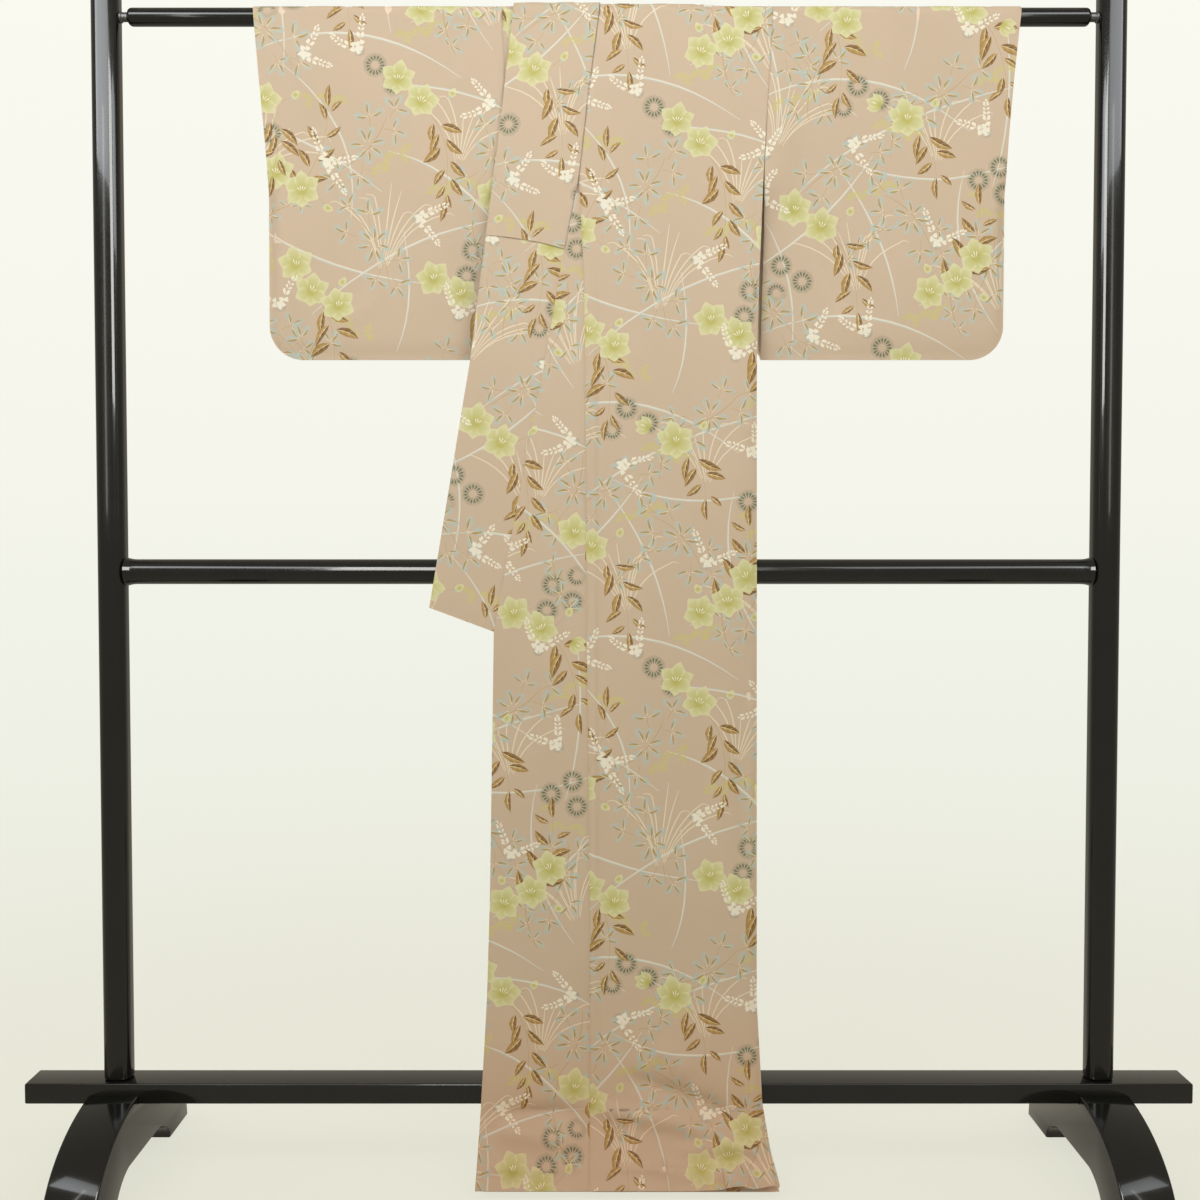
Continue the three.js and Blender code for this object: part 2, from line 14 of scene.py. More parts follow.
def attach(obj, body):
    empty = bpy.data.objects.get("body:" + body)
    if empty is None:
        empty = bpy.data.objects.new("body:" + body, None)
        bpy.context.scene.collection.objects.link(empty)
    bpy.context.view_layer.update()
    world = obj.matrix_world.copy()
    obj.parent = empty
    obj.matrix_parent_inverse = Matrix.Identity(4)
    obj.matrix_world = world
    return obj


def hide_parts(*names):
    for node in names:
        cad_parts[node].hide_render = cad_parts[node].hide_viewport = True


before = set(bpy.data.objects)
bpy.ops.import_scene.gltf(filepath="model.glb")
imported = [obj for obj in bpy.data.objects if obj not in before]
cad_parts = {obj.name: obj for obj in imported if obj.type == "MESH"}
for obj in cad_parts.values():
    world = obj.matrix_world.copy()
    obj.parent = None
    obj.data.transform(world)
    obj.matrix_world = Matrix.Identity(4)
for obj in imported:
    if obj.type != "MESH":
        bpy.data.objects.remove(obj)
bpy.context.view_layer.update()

MM = 0.001

# ---------- sizes shared with the CAD model, in millimetres ----------
ROD = {"top": 1655, "radius": 12.5, "half_length": 673, "chamfer": 6}
POST = {"x": 704, "width": 39, "depth": 35, "corner": 13, "top": 1722, "edge": 3}
RAIL = {"drop": 789, "radius": 17.7, "flare": 20.5, "flare_length": 16}
BEAM = {"half_length": 830, "depth": 54, "top": 139, "bottom": 110, "edge": 2.5}
FOOT = {"width": 71, "half_length": 200, "top": 123, "arch_height": 36, "arch_flat": 63,
        "arch_half": 115, "edge": 3}
PIN = {"radius": 6.5, "collar": 8, "collar_length": 3}
JOINT_GAP = 0.3
ROD_Z = ROD["top"] - ROD["radius"]
RAIL_Z = ROD["top"] - RAIL["drop"]

PITCH = 1.5
INNER_RADIUS = 13.65
RAIL_OUT = 18.8
BEAM_OUT = 28.4
HEM = {"z": 3.5, "kick": 42, "curve": 1.5}
HEM_DROP = ROD["top"] - HEM["z"]
SLEEVE = {"drop": 490, "sewn": 229, "corner": 47, "edge": 14}
SIDE_OPENING = {"start": 330, "sewn": 400, "pinch": 10}
COLLAR_END = {"edge": 852, "seam": 873}
OVER_COLLAR_END = {"seam": 339, "rise": 11}
COLLAR_BACK = 62
OKUMI_TOP = 241
NECK_DROP = 26
STEP_DOWN = {"from": 112, "to": 165, "fades": 229}

# Layers, counted from the stand outward, below the rod.
LEFT_BACK, PLEAT, RIGHT_BACK, RIGHT_FRONT, RIGHT_COLLAR, LEFT_FRONT, OVER_COLLAR = range(7)

# Edges of the pieces: (drop below the top of the rod, x).
LEFT_SIDE = ((0, 228), (130, 221), (229, 215.5), (370, 210), (495, 206.8), (884, 207.7), (1393, 209),
             (1535, 216), (1598, 225), (1650, 235.6))
LEFT_COLLAR_SEAM = ((0, -12.5), (129, -30), (241, -42.5), (340, -63), (495, -89.5), (674, -124.5),
                    (873, -161.3))
LEFT_COLLAR_EDGE = ((0, -132), (192, -154.5), (320, -171.5), (495, -194), (674, -224), (852, -254))
LEFT_OKUMI_SEAM = ((241, -42), (340, -36.5), (450, -33.5), (884, -31), (1250, -27), (1650, -27))
LEFT_FRONT_EDGE = ((873, -161.3), (1250, -167.5), (1393, -172), (1535, -179.5), (1650, -185))
RIGHT_SIDE = ((0, -148.6), (122, -143.4), (229, -143), (495, -151), (884, -155), (1535, -163),
              (1650, -174))
RIGHT_COLLAR_SEAM = ((0, 89), (241, 96), (495, 128), (873, 196))
RIGHT_OKUMI_SEAM = ((241, 95.5), (495, 88), (884, 84), (1393, 82), (1650, 90))
RIGHT_FRONT_EDGE = ((873, 196), (1393, 196), (1535, 202), (1650, 221))
OUTER_FOLD = ((0, -31), (300, -28), (900, -25), (1650, -26))
INNER_FOLD = ((0, 108.5), (300, 100), (900, 94), (1650, 98))
CENTRE_SEAM = ((0, 39), (900, 43), (1650, 46))
LEFT_SLEEVE_INNER = ((0, 228.3), (130, 221.3), (229, 216.5), (300, 218), (490, 213.5))
LEFT_SLEEVE_OUTER = ((0, 574.5), (93, 565.6), (175, 559.5), (229, 556.5), (490, 556.5))
RIGHT_SLEEVE_INNER = ((0, -148.9), (122, -143.7), (229, -144), (300, -149), (490, -152))
RIGHT_SLEEVE_OUTER = ((0, -495.9), (93, -489), (175, -482), (229, -478), (490, -478.8))

# ---------- sizes of the shell ----------
SILK = 0.8
HALF_TURN = 23.5  # from the top of the rod to where the cloth leaves it, along the cloth
SEWN_GAP = SILK / 2 + 0.02
GRID = 13.0
TURN_GRID = 3.0
HEM_GRID = 4.6
HEM_ROWS = 170  # the height over the hem with the finer grid and the thicker shell
HEM_GROWTH = 50
HEM_GAIN = 1.6  # the share by which the shell is thicker there, reached over HEM_GROWTH
RIM_ON_MAP = 2.0  # the rim's width on the texture map


# ---------- small helpers ----------
def lerp(a, b, t):
    return a + (b - a) * t


def smooth(value, low, high):
    t = np.clip((value - low) / (high - low), 0, 1)
    return t * t * (3 - 2 * t)


def edge_at(table, drop):
    return np.interp(drop, [row[0] for row in table], [row[1] for row in table])


def linear(red, green, blue):
    """A display colour from 0 to 255 as linear light."""
    share = np.array([red, green, blue]) / 255
    return np.where(share <= 0.04045, share / 12.92, ((share + 0.055) / 1.055) ** 2.4)


def signed_area(points):
    x, y = points[:, 0], points[:, 1]
    return 0.5 * float(np.sum(x * np.roll(y, -1) - np.roll(x, -1) * y))


# ---------- the print: motifs in the plane of the bolt ----------
# How the studio lights the upper cloth, next to a white of 1: dyes are given as they look there.
LIT = np.array((1.24, 1.25, 1.22))


def dye(red, green, blue):
    return linear(red, green, blue) / LIT


# How closely a part of the cloth is seen. Each patch of print says from which of these on it is made.
HIDDEN, SHOWN, CLOSE = range(3)

GROUND = dye(212, 190, 163)
FLOWER_EDGE = dye(230, 229, 180)
FLOWER_BODY = dye(213, 210, 148)
FLOWER_HEART = dye(196, 190, 98)
STAMEN = dye(250, 248, 226)
LEAF_DARK = dye(122, 84, 36)
LEAF_GOLD = dye(196, 160, 86)
LEAF_RIB = dye(236, 218, 172)
HAGI_BLUE = dye(188, 204, 196)
HAGI_OCHRE = dye(192, 164, 100)
HAGI_DARK = dye(172, 142, 80)
HAGI_RIB = dye(240, 230, 190)
CREAM = dye(246, 241, 220)
ARC_LIGHT = dye(233, 230, 214)
ARC_SHADE = dye(204, 206, 192)
GRASS_LINE = dye(240, 227, 198)
WHEEL_PETAL = dye(104, 110, 84)
WHEEL_HALO = dye(152, 154, 124)
FAN_GREEN = dye(214, 206, 126)
BRANCH = dye(196, 172, 122)


class Pose:
    """Where a motif lies: its origin, its turn from the x axis, its size and which way it faces."""

    def __init__(self, x, y, degrees=0.0, size=1.0, flip=1):
        turn = math.radians(degrees)
        across = (math.cos(turn), math.sin(turn))
        self.origin = np.array((x, y), float)
        self.axes = size * np.array((across, (-flip * across[1], flip * across[0])))

    def out(self, points):
        return self.origin + np.asarray(points, float).reshape(-1, 2) @ self.axes

    def back(self, points):
        return (points - self.origin) @ np.linalg.inv(self.axes)

    def at(self, x, y, degrees=0.0, size=1.0):
        """A pose given in this one's own directions."""
        turn = math.radians(degrees)
        inner = Pose(0, 0)
        inner.origin = self.out((x, y))[0]
        rotation = np.array(((math.cos(turn), math.sin(turn)), (-math.sin(turn), math.cos(turn))))
        inner.axes = size * rotation @ self.axes
        return inner


class Sketch:
    """Patches of print. A later patch lies on the earlier ones."""

    def __init__(self, seed):
        self.patches = []
        self.random = random.Random(seed)

    def add(self, pose, outline, shade, seeds=(), grade=HIDDEN):
        points = pose.out(outline)
        if signed_area(points) < 0:
            points = points[::-1]
        inside = pose.out(seeds) if len(seeds) else np.zeros((0, 2))
        self.patches.append({
            "outline": points,
            "seeds": inside,
            "low": points.min(0),
            "high": points.max(0),
            "grade": grade,
            "shade": lambda where: shade(pose.back(where)),
        })

    def paint(self, pose, outline, colour, cover=1.0, grade=CLOSE):
        """A patch of one colour."""
        value = np.append(colour, cover)
        self.add(pose, outline, lambda where: np.tile(value, (len(where), 1)), (), grade)

    def about(self, value, share):
        return value * (1 + self.random.uniform(-share, share))

    def between(self, low, high):
        return self.random.uniform(low, high)


def blended(low, high, share, cover):
    """Rows of colour and cover, from one colour to another."""
    colours = low + (high - low) * np.asarray(share)[:, None]
    return np.column_stack((colours, np.broadcast_to(cover, len(colours))))


def veiled(colour, cover):
    """Rows of one colour, each with its own cover."""
    return blended(colour, colour, np.zeros(len(cover)), cover)


def curve(start, bend, end, steps):
    """Points of a quadratic curve."""
    start, bend, end = (np.array(p, float) for p in (start, bend, end))
    t = np.linspace(0, 1, steps + 1)[:, None]
    return start * (1 - t) ** 2 + 2 * bend * t * (1 - t) + end * t ** 2


def sides_of(path, widths):
    """The two sides of a stroke along a path."""
    along = np.gradient(path, axis=0)
    along /= np.linalg.norm(along, axis=1)[:, None]
    across = np.column_stack((-along[:, 1], along[:, 0]))
    half = np.asarray(widths)[:, None] / 2
    return path + across * half, path - across * half


def stroke(sketch, pose, path, widths, colour, cover, grade=CLOSE):
    left, right = sides_of(path, widths)
    sketch.paint(pose, np.vstack((right, left[::-1])), colour, cover, grade)


def taper(steps, thick, thin, peak=0.5):
    """Widths that swell from thin to thick and back."""
    t = np.linspace(0, 1, steps + 1)
    rise = np.where(t < peak, t / peak, (1 - t) / (1 - peak))
    return thin + (thick - thin) * np.sin(rise * math.pi / 2)


def oval(radius_x, radius_y, steps):
    turns = np.linspace(0, 2 * math.pi, steps, endpoint=False)
    return np.column_stack((radius_x * np.cos(turns), radius_y * np.sin(turns)))


def circle(radius, steps):
    return oval(radius, radius, steps)


def drop_shape(start, end, width):
    """A drop along x, pointed at its start and blunt at its end."""
    shoulder = start + (end - start) * 0.70
    return ((start, 0), (shoulder, -width / 2), (end, 0), (shoulder, width / 2))


# A balloon flower's petal: how wide it is at shares of its length, and where its seeds lie.
PETAL_STATIONS = (0.10, 0.36, 0.60, 0.80, 0.92)
PETAL_WIDTHS = (0.42, 0.92, 1.0, 0.60, 0.27)
PETAL_SEEDS = ((0.55, 0), (0.42, -0.27), (0.42, 0.27), (0.80, 0), (0.66, -0.27), (0.66, 0.27))


def petal(sketch, pose, length, width):
    """A balloon flower's petal from the heart out along x, with a light, slightly frilled edge."""
    def edge(side):
        return [(at * length, side * share * width / 2 * sketch.about(1, 0.06))
                for at, share in zip(PETAL_STATIONS, PETAL_WIDTHS)]

    upper = edge(1)
    lower = edge(-1)
    outline = lower + [(length, sketch.between(-1.0, 1.0))] + upper[::-1]
    seeds = [(x * length, y * width) for x, y in PETAL_SEEDS]

    def shade(where):
        share = where[:, 0] / length
        half = np.interp(share, PETAL_STATIONS + (1.0,), PETAL_WIDTHS + (0.02,)) * width / 2
        rim = np.clip(np.abs(where[:, 1]) / np.maximum(half, 0.1), 0, 1)
        colours = blended(FLOWER_HEART, FLOWER_BODY, smooth(share, -0.1, 0.62), 1.0)
        light = smooth(np.maximum(rim, share * 0.98), 0.5, 1.0)[:, None]
        light = light * smooth(share, 0.1, 0.5)[:, None]
        colours[:, :3] = colours[:, :3] * (1 - light) + FLOWER_EDGE * light
        frill = smooth(np.maximum(rim, share * 0.98), 0.8, 1.0)
        colours[:, 3] = 1 - 0.25 * frill * smooth(share, 0.3, 0.6)
        return colours

    sketch.add(pose, outline, shade, seeds)


def glow(sketch, pose, radius, colour, cover, grade=SHOWN):
    """A soft round patch, strongest at its middle."""
    def shade(where):
        r = np.hypot(where[:, 0], where[:, 1]) / radius
        return veiled(colour, cover * (1 - smooth(r, 0.3, 1.0)))

    seeds = [(0, 0)] + [tuple(p) for p in circle(radius * 0.5, 5)]
    sketch.add(pose, circle(radius, 9), shade, seeds, grade)


def stamens(sketch, pose):
    for degrees in (52, 80, 104, 132)[: sketch.random.choice((3, 4))]:
        reach = sketch.about(11.0, 0.15)
        sketch.paint(pose.at(0, 0, degrees), drop_shape(2.6, reach, 1.5), STAMEN)


def flower(sketch, pose, radius):
    """A balloon flower seen from a little above: six petals, a deeper heart and pale stamens."""
    for start in (30, 90):
        for k in range(3):
            degrees = start + 120 * k + sketch.between(-6, 6)
            reach = radius * (1 + 0.08 * math.sin(math.radians(degrees))) * sketch.about(1, 0.05)
            petal(sketch, pose.at(0, -1.5, degrees), reach, radius * sketch.about(0.80, 0.07))
    glow(sketch, pose.at(0, -2.5), radius * 0.34, FLOWER_HEART, 0.8)
    stamens(sketch, pose.at(0.5, -5))


def opening_flower(sketch, pose):
    """A half-open flower from the side, its mouth along x."""
    length = 25.0
    for degrees, share in ((30, 0.88), (-30, 0.88), (0, 1.0)):
        petal(sketch, pose.at(-2, 0, degrees), length * share, length * 0.56)
    glow(sketch, pose.at(length * 0.12, 0), length * 0.26, FLOWER_HEART, 0.6)
    sketch.paint(pose.at(length * 0.2, 0), drop_shape(0, 9, 1.6), STAMEN)


BUD = ((-0.48, 0), (-0.34, -0.27), (-0.02, -0.36), (0.3, -0.24),
       (0.52, 0), (0.3, 0.24), (-0.02, 0.36), (-0.34, 0.27))


def bud(sketch, pose):
    length = 15.0
    outline = [(x * length, y * length) for x, y in BUD]

    def shade(where):
        r = np.hypot(where[:, 0], where[:, 1] * 1.4) / (length * 0.5)
        return blended(FLOWER_HEART, FLOWER_EDGE, smooth(r, 0.0, 0.95), 1 - 0.2 * smooth(r, 0.7, 1.0))

    sketch.add(pose, outline, shade, [(0, 0)])
    sketch.paint(pose.at(-length * 0.5, 0), oval(2.6, 1.8, 6), HAGI_BLUE, 0.8)


# A leaf: its width and half its rib's at shares of its length, and where its side veins start.
LEAF_STATIONS = np.array((0, 0.20, 0.48, 0.76, 1.0))
LEAF_WIDTHS = np.array((0.04, 0.74, 1.0, 0.66, 0.0))
LEAF_HALF_RIB = np.array((0.42, 0.52, 0.44, 0.26, 0.0))
LEAF_VEINS = (0.24, 0.50)


def leaf(sketch, pose, length, width):
    """A lance-shaped leaf along x: one half dark, one gold, with a cream midrib and side veins."""
    bend = length * sketch.between(0.03, 0.10) * sketch.random.choice((-1, 1))
    rib = np.column_stack((LEAF_STATIONS * length, bend * np.sin(LEAF_STATIONS * math.pi)))

    def beside_rib(distance):
        return rib + np.column_stack((np.zeros(len(rib)), distance))

    inner = {side: beside_rib(side * LEAF_HALF_RIB) for side in (1, -1)}
    for side, colour, far in ((1, LEAF_DARK, LEAF_GOLD), (-1, LEAF_GOLD, LEAF_DARK)):
        fullness = sketch.about(1, 0.12)
        rim = beside_rib(side * np.maximum(LEAF_WIDTHS * width / 2 * fullness, LEAF_HALF_RIB))

        def shade(where, colour=colour, far=far):
            share = where[:, 0] / length
            rib_y = bend * np.sin(np.clip(share, 0, 1) * math.pi)
            rim_share = np.abs(where[:, 1] - rib_y) / (width / 2)
            turned = 0.5 * smooth(rim_share, 0.3, 1.0) + 0.2 * smooth(share, 0.6, 1)
            return blended(colour, far, turned, 1.0)

        sketch.add(pose, np.vstack((inner[side], rim[-2:0:-1])), shade)
        for share in LEAF_VEINS:
            x, y = share * length, bend * math.sin(share * math.pi)
            reach = np.interp(share, LEAF_STATIONS, LEAF_WIDTHS) * width / 2 * 0.86
            tip = (x + reach * 1.35, y + side * reach)
            root = y + side * 0.3
            sketch.paint(pose, ((x - 0.5, root), (x + 0.6, root), tip), LEAF_RIB, 0.85)
    sketch.paint(pose, np.vstack((inner[-1], inner[1][-2:0:-1])), LEAF_RIB)


HAGI_RIM = ((0.28, 0.36), (0.64, 0.5), (0.97, 0.20))


def hagi_leaflet(sketch, pose, length):
    """A bush clover leaflet along x: airbrushed pale blue, with an ochre stripe and a light line."""
    width = length * 0.60
    middle = length * 0.60
    side = sketch.random.choice((1, -1))

    def blue(where):
        r = np.hypot((where[:, 0] - middle) / (length * 0.5), where[:, 1] / (width * 0.55))
        return veiled(HAGI_BLUE, 0.92 - 0.78 * smooth(r, 0.35, 1.0))

    rim = [(x * length, y * width) for x, y in HAGI_RIM]
    outline = [(0.0, 0.0)] + rim + [(x, -y) for x, y in rim[::-1]]
    sketch.add(pose, outline, blue, [(middle, -side * width * 0.22)])
    reach = sketch.about(0.80, 0.12) * length
    stripe = [(0.2, 0), (reach * 0.42, side * width * 0.27),
              (reach * 0.86, side * width * 0.22), (reach, 0)]

    def gold(where):
        share = where[:, 0] / reach
        cover = 1 - 0.35 * smooth(share, 0.6, 1.0)
        return blended(HAGI_DARK, HAGI_OCHRE, smooth(share, 0.0, 0.6), cover)

    sketch.add(pose, stripe, gold, (), SHOWN)
    sketch.paint(pose, ((0.3, -0.6), (length * 0.95, 0), (0.3, 0.6)), HAGI_RIB, 0.95)


def hagi_leaf(sketch, pose, size):
    """Three leaflets from one point."""
    for degrees in (0, 76, -72):
        turned = pose.at(0, 0, degrees + sketch.between(-10, 10))
        hagi_leaflet(sketch, turned.at(2.2, 0), 20 * size * sketch.about(1, 0.1))


def hagi_rosette(sketch, pose):
    count = 7
    for k in range(count):
        turned = pose.at(0, 0, 360 / count * k + sketch.between(-7, 7))
        hagi_leaflet(sketch, turned.at(6.0, 0), 21 * sketch.about(1, 0.12))


# Where the looser leaves of a cluster lie: x, y and heading in degrees.
HAGI_SPOTS = ((-40, 12, 140), (36, 22, 50), (44, -18, -30), (-30, -26, 230), (66, 4, 5), (-62, -8, 185))


def hagi_cluster(sketch, pose, leaves):
    """A rosette among looser leaves, strung along x on a thin branch."""
    path = curve((-48, -10), (0, 16), (62, -6), 8)
    stroke(sketch, pose, path, taper(8, 1.3, 0.6, 0.3), BRANCH, 0.85)
    for x, y, degrees in HAGI_SPOTS[:leaves]:
        node = pose.at(x, y, degrees + sketch.between(-20, 20))
        stroke(sketch, node, curve((-14, 0), (-6, 2), (0, 0), 2), (0.9, 0.9, 0.8), BRANCH, 0.8)
        hagi_leaf(sketch, node, sketch.about(0.98, 0.1))
    hagi_rosette(sketch, pose)


def hagi_twig(sketch, pose, length, leaves):
    """A loose twig along x, its leaves set far apart."""
    path = curve((0, 0), (length * 0.5, length * 0.16), (length, 0), 8)
    stroke(sketch, pose, path, taper(8, 1.4, 0.6, 0.1), BRANCH, 0.85)
    for k in range(leaves):
        x, y = path[min(8, round((k + 0.7) / leaves * 8))]
        turned = pose.at(x, y, sketch.between(35, 62) * (1 if k % 2 else -1))
        hagi_leaf(sketch, turned, sketch.about(0.78, 0.1))


def blossom(sketch, pose, size):
    """A little pale flower of three lobes."""
    turns = np.linspace(0, 2 * math.pi, 6, endpoint=False)
    radius = 3.6 * size * (1 + 0.2 * np.cos(3 * turns))
    outline = np.column_stack((radius * np.cos(turns), radius * np.sin(turns)))
    sketch.paint(pose, outline, CREAM, 0.97, SHOWN)


# The blossoms at a sprig's foot: x, y and size.
SPRIG_FOOT = ((1.5, 3.2, 1.15), (4.8, -2.8, 1.0), (-3.6, -1.8, 1.1), (-7.6, 2.4, 0.8))


def sprig(sketch, pose, length, bend):
    """A spike of small cream drops in two rows along x, with blossoms at its foot."""
    path = curve((0, 0), (length * 0.5, bend), (length, 0), 12)
    pairs = 6
    for k in range(pairs):
        share = 0.22 + 0.72 * k / (pairs - 1)
        x, y = path[round(share * 12)]
        size = 1 - 0.38 * share
        for side in (1, -1):
            bead = pose.at(x, y, side * 42 + sketch.between(-9, 9))
            sketch.paint(bead, drop_shape(0.3, 8.6 * size, 4.6 * size), CREAM, 0.97, SHOWN)
    sketch.paint(pose.at(*path[-1]), drop_shape(-0.6, 5.0, 3.0), CREAM, 0.97, SHOWN)
    for x, y, size in SPRIG_FOOT:
        blossom(sketch, pose.at(x, y, sketch.between(0, 90)), size)


def sprigs(sketch, x, y, headings):
    """Sprigs that part from one node, with a soft blue patch behind it."""
    glow(sketch, Pose(x, y), 9, HAGI_BLUE, 0.8, CLOSE)
    for degrees in headings:
        sprig(sketch, Pose(x, y, degrees).at(7, 0), 38 * sketch.about(1, 0.14), sketch.between(-5, 7))


def wheel(sketch, pose, radius=14.0, first=0, last=360, petals=15):
    """A small chrysanthemum: narrow dark petals round a bare heart, in a soft halo."""
    whole = last - first >= 360

    def halo(where):
        r = np.hypot(where[:, 0], where[:, 1]) / radius
        cover = 0.62 * smooth(r, 0.3, 0.7) * (1 - smooth(r, 0.75, 1.3))
        return veiled(WHEEL_HALO, cover if whole else cover * 0.6)

    seeds = [(0, 0)]
    for share, count in ((0.36, 5), (0.8, 8)):
        seeds += [tuple(p) for p in circle(radius * share, count)]
    sketch.add(pose, circle(radius * 1.3, 10), halo, seeds, SHOWN)
    for k in range(petals):
        degrees = first + (last - first) * k / (petals if whole else petals - 1)
        reach = radius * sketch.about(1, 0.06)
        ray = pose.at(0, 0, degrees)
        sketch.paint(ray, drop_shape(radius * 0.34, reach, 2.7), WHEEL_PETAL, 0.85, SHOWN)


def fan(sketch, pose, radius):
    """A faint half wheel of soft yellow-green loops."""
    loops = 6
    for k in range(loops):
        ray = pose.at(0, 0, -80 + 160 * k / (loops - 1))
        sketch.paint(ray, drop_shape(2.6, radius + 2.8, 3.9), FAN_GREEN, 0.9)


def fans(sketch, x, y, heading):
    """Half wheels in a loose row."""
    count = 3
    for k in range(count):
        place = Pose(x, y, heading).at(24 * (k - (count - 1) / 2), sketch.between(-7, 7))
        fan(sketch, place.at(0, 0, 90 + sketch.between(-50, 50)), 11 * sketch.about(1, 0.15))


def wheels(sketch, x, y, spots):
    for dx, dy, kind in spots:
        pose = Pose(x + dx, y + dy, sketch.between(0, 24))
        if kind == "whole":
            wheel(sketch, pose)
        else:
            wheel(sketch, Pose(x + dx, y + dy, kind), 13, 0, 170, 9)


def arc(sketch, start, bend, end, thick):
    """A long sweeping stem, pale above and cooler below."""
    length = math.dist(start, bend) + math.dist(bend, end)
    steps = max(6, round(length / 25))
    path = curve(start, bend, end, steps)
    left, right = sides_of(path, taper(steps, thick, 0.9))
    seam = left + (right - left) * 0.62
    pose = Pose(0, 0)
    sketch.paint(pose, np.vstack((seam, left[::-1])), ARC_LIGHT, 0.95, HIDDEN)
    sketch.paint(pose, np.vstack((right, seam[::-1])), ARC_SHADE, 0.9)


def grass(sketch, pose, length, blades):
    """Thin blades that fan out from one foot along x and hook over at their tips."""
    for k in range(blades):
        spread = lerp(-36, 32, k / (blades - 1)) + sketch.between(-3, 3)
        reach = length * sketch.between(0.66, 1.0)
        blade = pose.at(sketch.between(4, 12), (k - (blades - 1) / 2) * 1.7, spread * 0.5)
        droop = math.copysign(abs(spread) ** 1.2 * 0.6, spread)
        path = curve((0, 0), (reach * 0.62, 0), (reach, droop), 6)
        if abs(spread) > 10:
            side = math.copysign(1, spread)
            hook = curve(path[-1], path[-1] + (6, side * 4), path[-1] + (3, side * 13), 3)
            path = np.vstack((path, hook[1:]))
        stroke(sketch, blade, path, taper(len(path) - 1, 1.7, 0.7, 0.4), GRASS_LINE, 0.95, SHOWN)


def leafy_stem(sketch, pose, path, count):
    """Leaves in turn on either side of a thin stem."""
    longest = 34.0
    steps = len(path) - 1
    stroke(sketch, pose, path, taper(steps, 1.1, 0.5, 0.15), BRANCH, 0.75)
    heading = np.degrees(np.arctan2(*np.gradient(path, axis=0).T[::-1]))
    for k in range(count):
        share = (k + 0.5) / count
        index = min(steps, round(share * steps))
        side = 1 if k % 2 else -1
        turned = heading[index] + side * sketch.between(26, 64)
        fullness = 0.66 + 0.34 * math.sin(min(1.0, share + 0.15) * math.pi)
        size = longest * fullness * sketch.about(1, 0.13)
        away = pose.at(*path[index], turned)
        leaf(sketch, away.at(sketch.between(4.0, 9.0), 0), size, size * sketch.between(0.32, 0.38))
    leaf(sketch, pose.at(*path[-1], heading[-1]), longest * 0.9, longest * 0.28)


# A spray's buds: x, y and heading in degrees.
SPRAY_BUDS = ((42, 16, 60), (-38, -24, 200), (20, 44, 90))


def flower_spray(sketch, pose, flowers, leaves, drift, reach, buds):
    """Balloon flowers at the head of a leafy stem that falls away below them."""
    path = curve((14, -16), (drift * 1.1, -reach * 0.4), (drift, -reach), 12)
    leafy_stem(sketch, pose, path, leaves)
    for x, y, degrees in SPRAY_BUDS[:buds]:
        stem = curve((6, -6), (x * 0.7, y * 0.2), (x, y), 4)
        stroke(sketch, pose, stem, (1.0, 0.9, 0.8, 0.7, 0.6), BRANCH, 0.75)
        bud(sketch, pose.at(x, y, degrees))
    for x, y, kind in flowers:
        turned = pose.at(x, y, sketch.between(-14, 14))
        if kind == "open":
            flower(sketch, turned, sketch.about(26, 0.05))
        else:
            opening_flower(sketch, pose.at(x, y, kind))


# ---------- the bolt: one repeat of the print, in its own plane ----------
REPEAT = 780
# Flowers of a spray: x, y, and "open" or the heading of a half-open one.
PAIR = ((0, 0, "open"), (-36, 26, "open"))
PAIR_RISING = ((0, 0, "open"), (37, 22, "open"))
TRIO = ((0, 0, "open"), (38, -16, "open"), (-26, 34, "open"))
LONE = ((0, 0, "open"),)
# Long stems: start, bend, end, thickness.
ARCS = (
    ((-10, 96), (150, 190), (306, 66), 4.2), ((64, -24), (160, 84), (396, 132), 3.8),
    ((-12, 352), (84, 262), (262, 244), 4.0), ((206, 428), (322, 402), (396, 262), 4.4),
    ((18, 566), (168, 628), (308, 528), 4.2), ((-10, 646), (104, 706), (172, 812), 3.8),
    ((238, 604), (318, 642), (396, 742), 4.0), ((152, 336), (172, 462), (58, 548), 3.4),
    ((300, 792), (268, 676), (352, 566), 3.6), ((96, 202), (222, 322), (392, 338), 3.8),
    ((214, 150), (246, 216), (226, 318), 3.0), ((20, 724), (70, 640), (60, 540), 3.2),
    ((120, 800), (196, 700), (210, 590), 3.4), ((-8, 250), (40, 190), (44, 60), 3.2),
    ((388, 470), (330, 520), (196, 520), 3.6), ((340, -10), (372, 90), (356, 214), 3.4),
    ((-6, 470), (96, 452), (196, 372), 3.6), ((130, 30), (236, -30), (388, 26), 3.6),
)
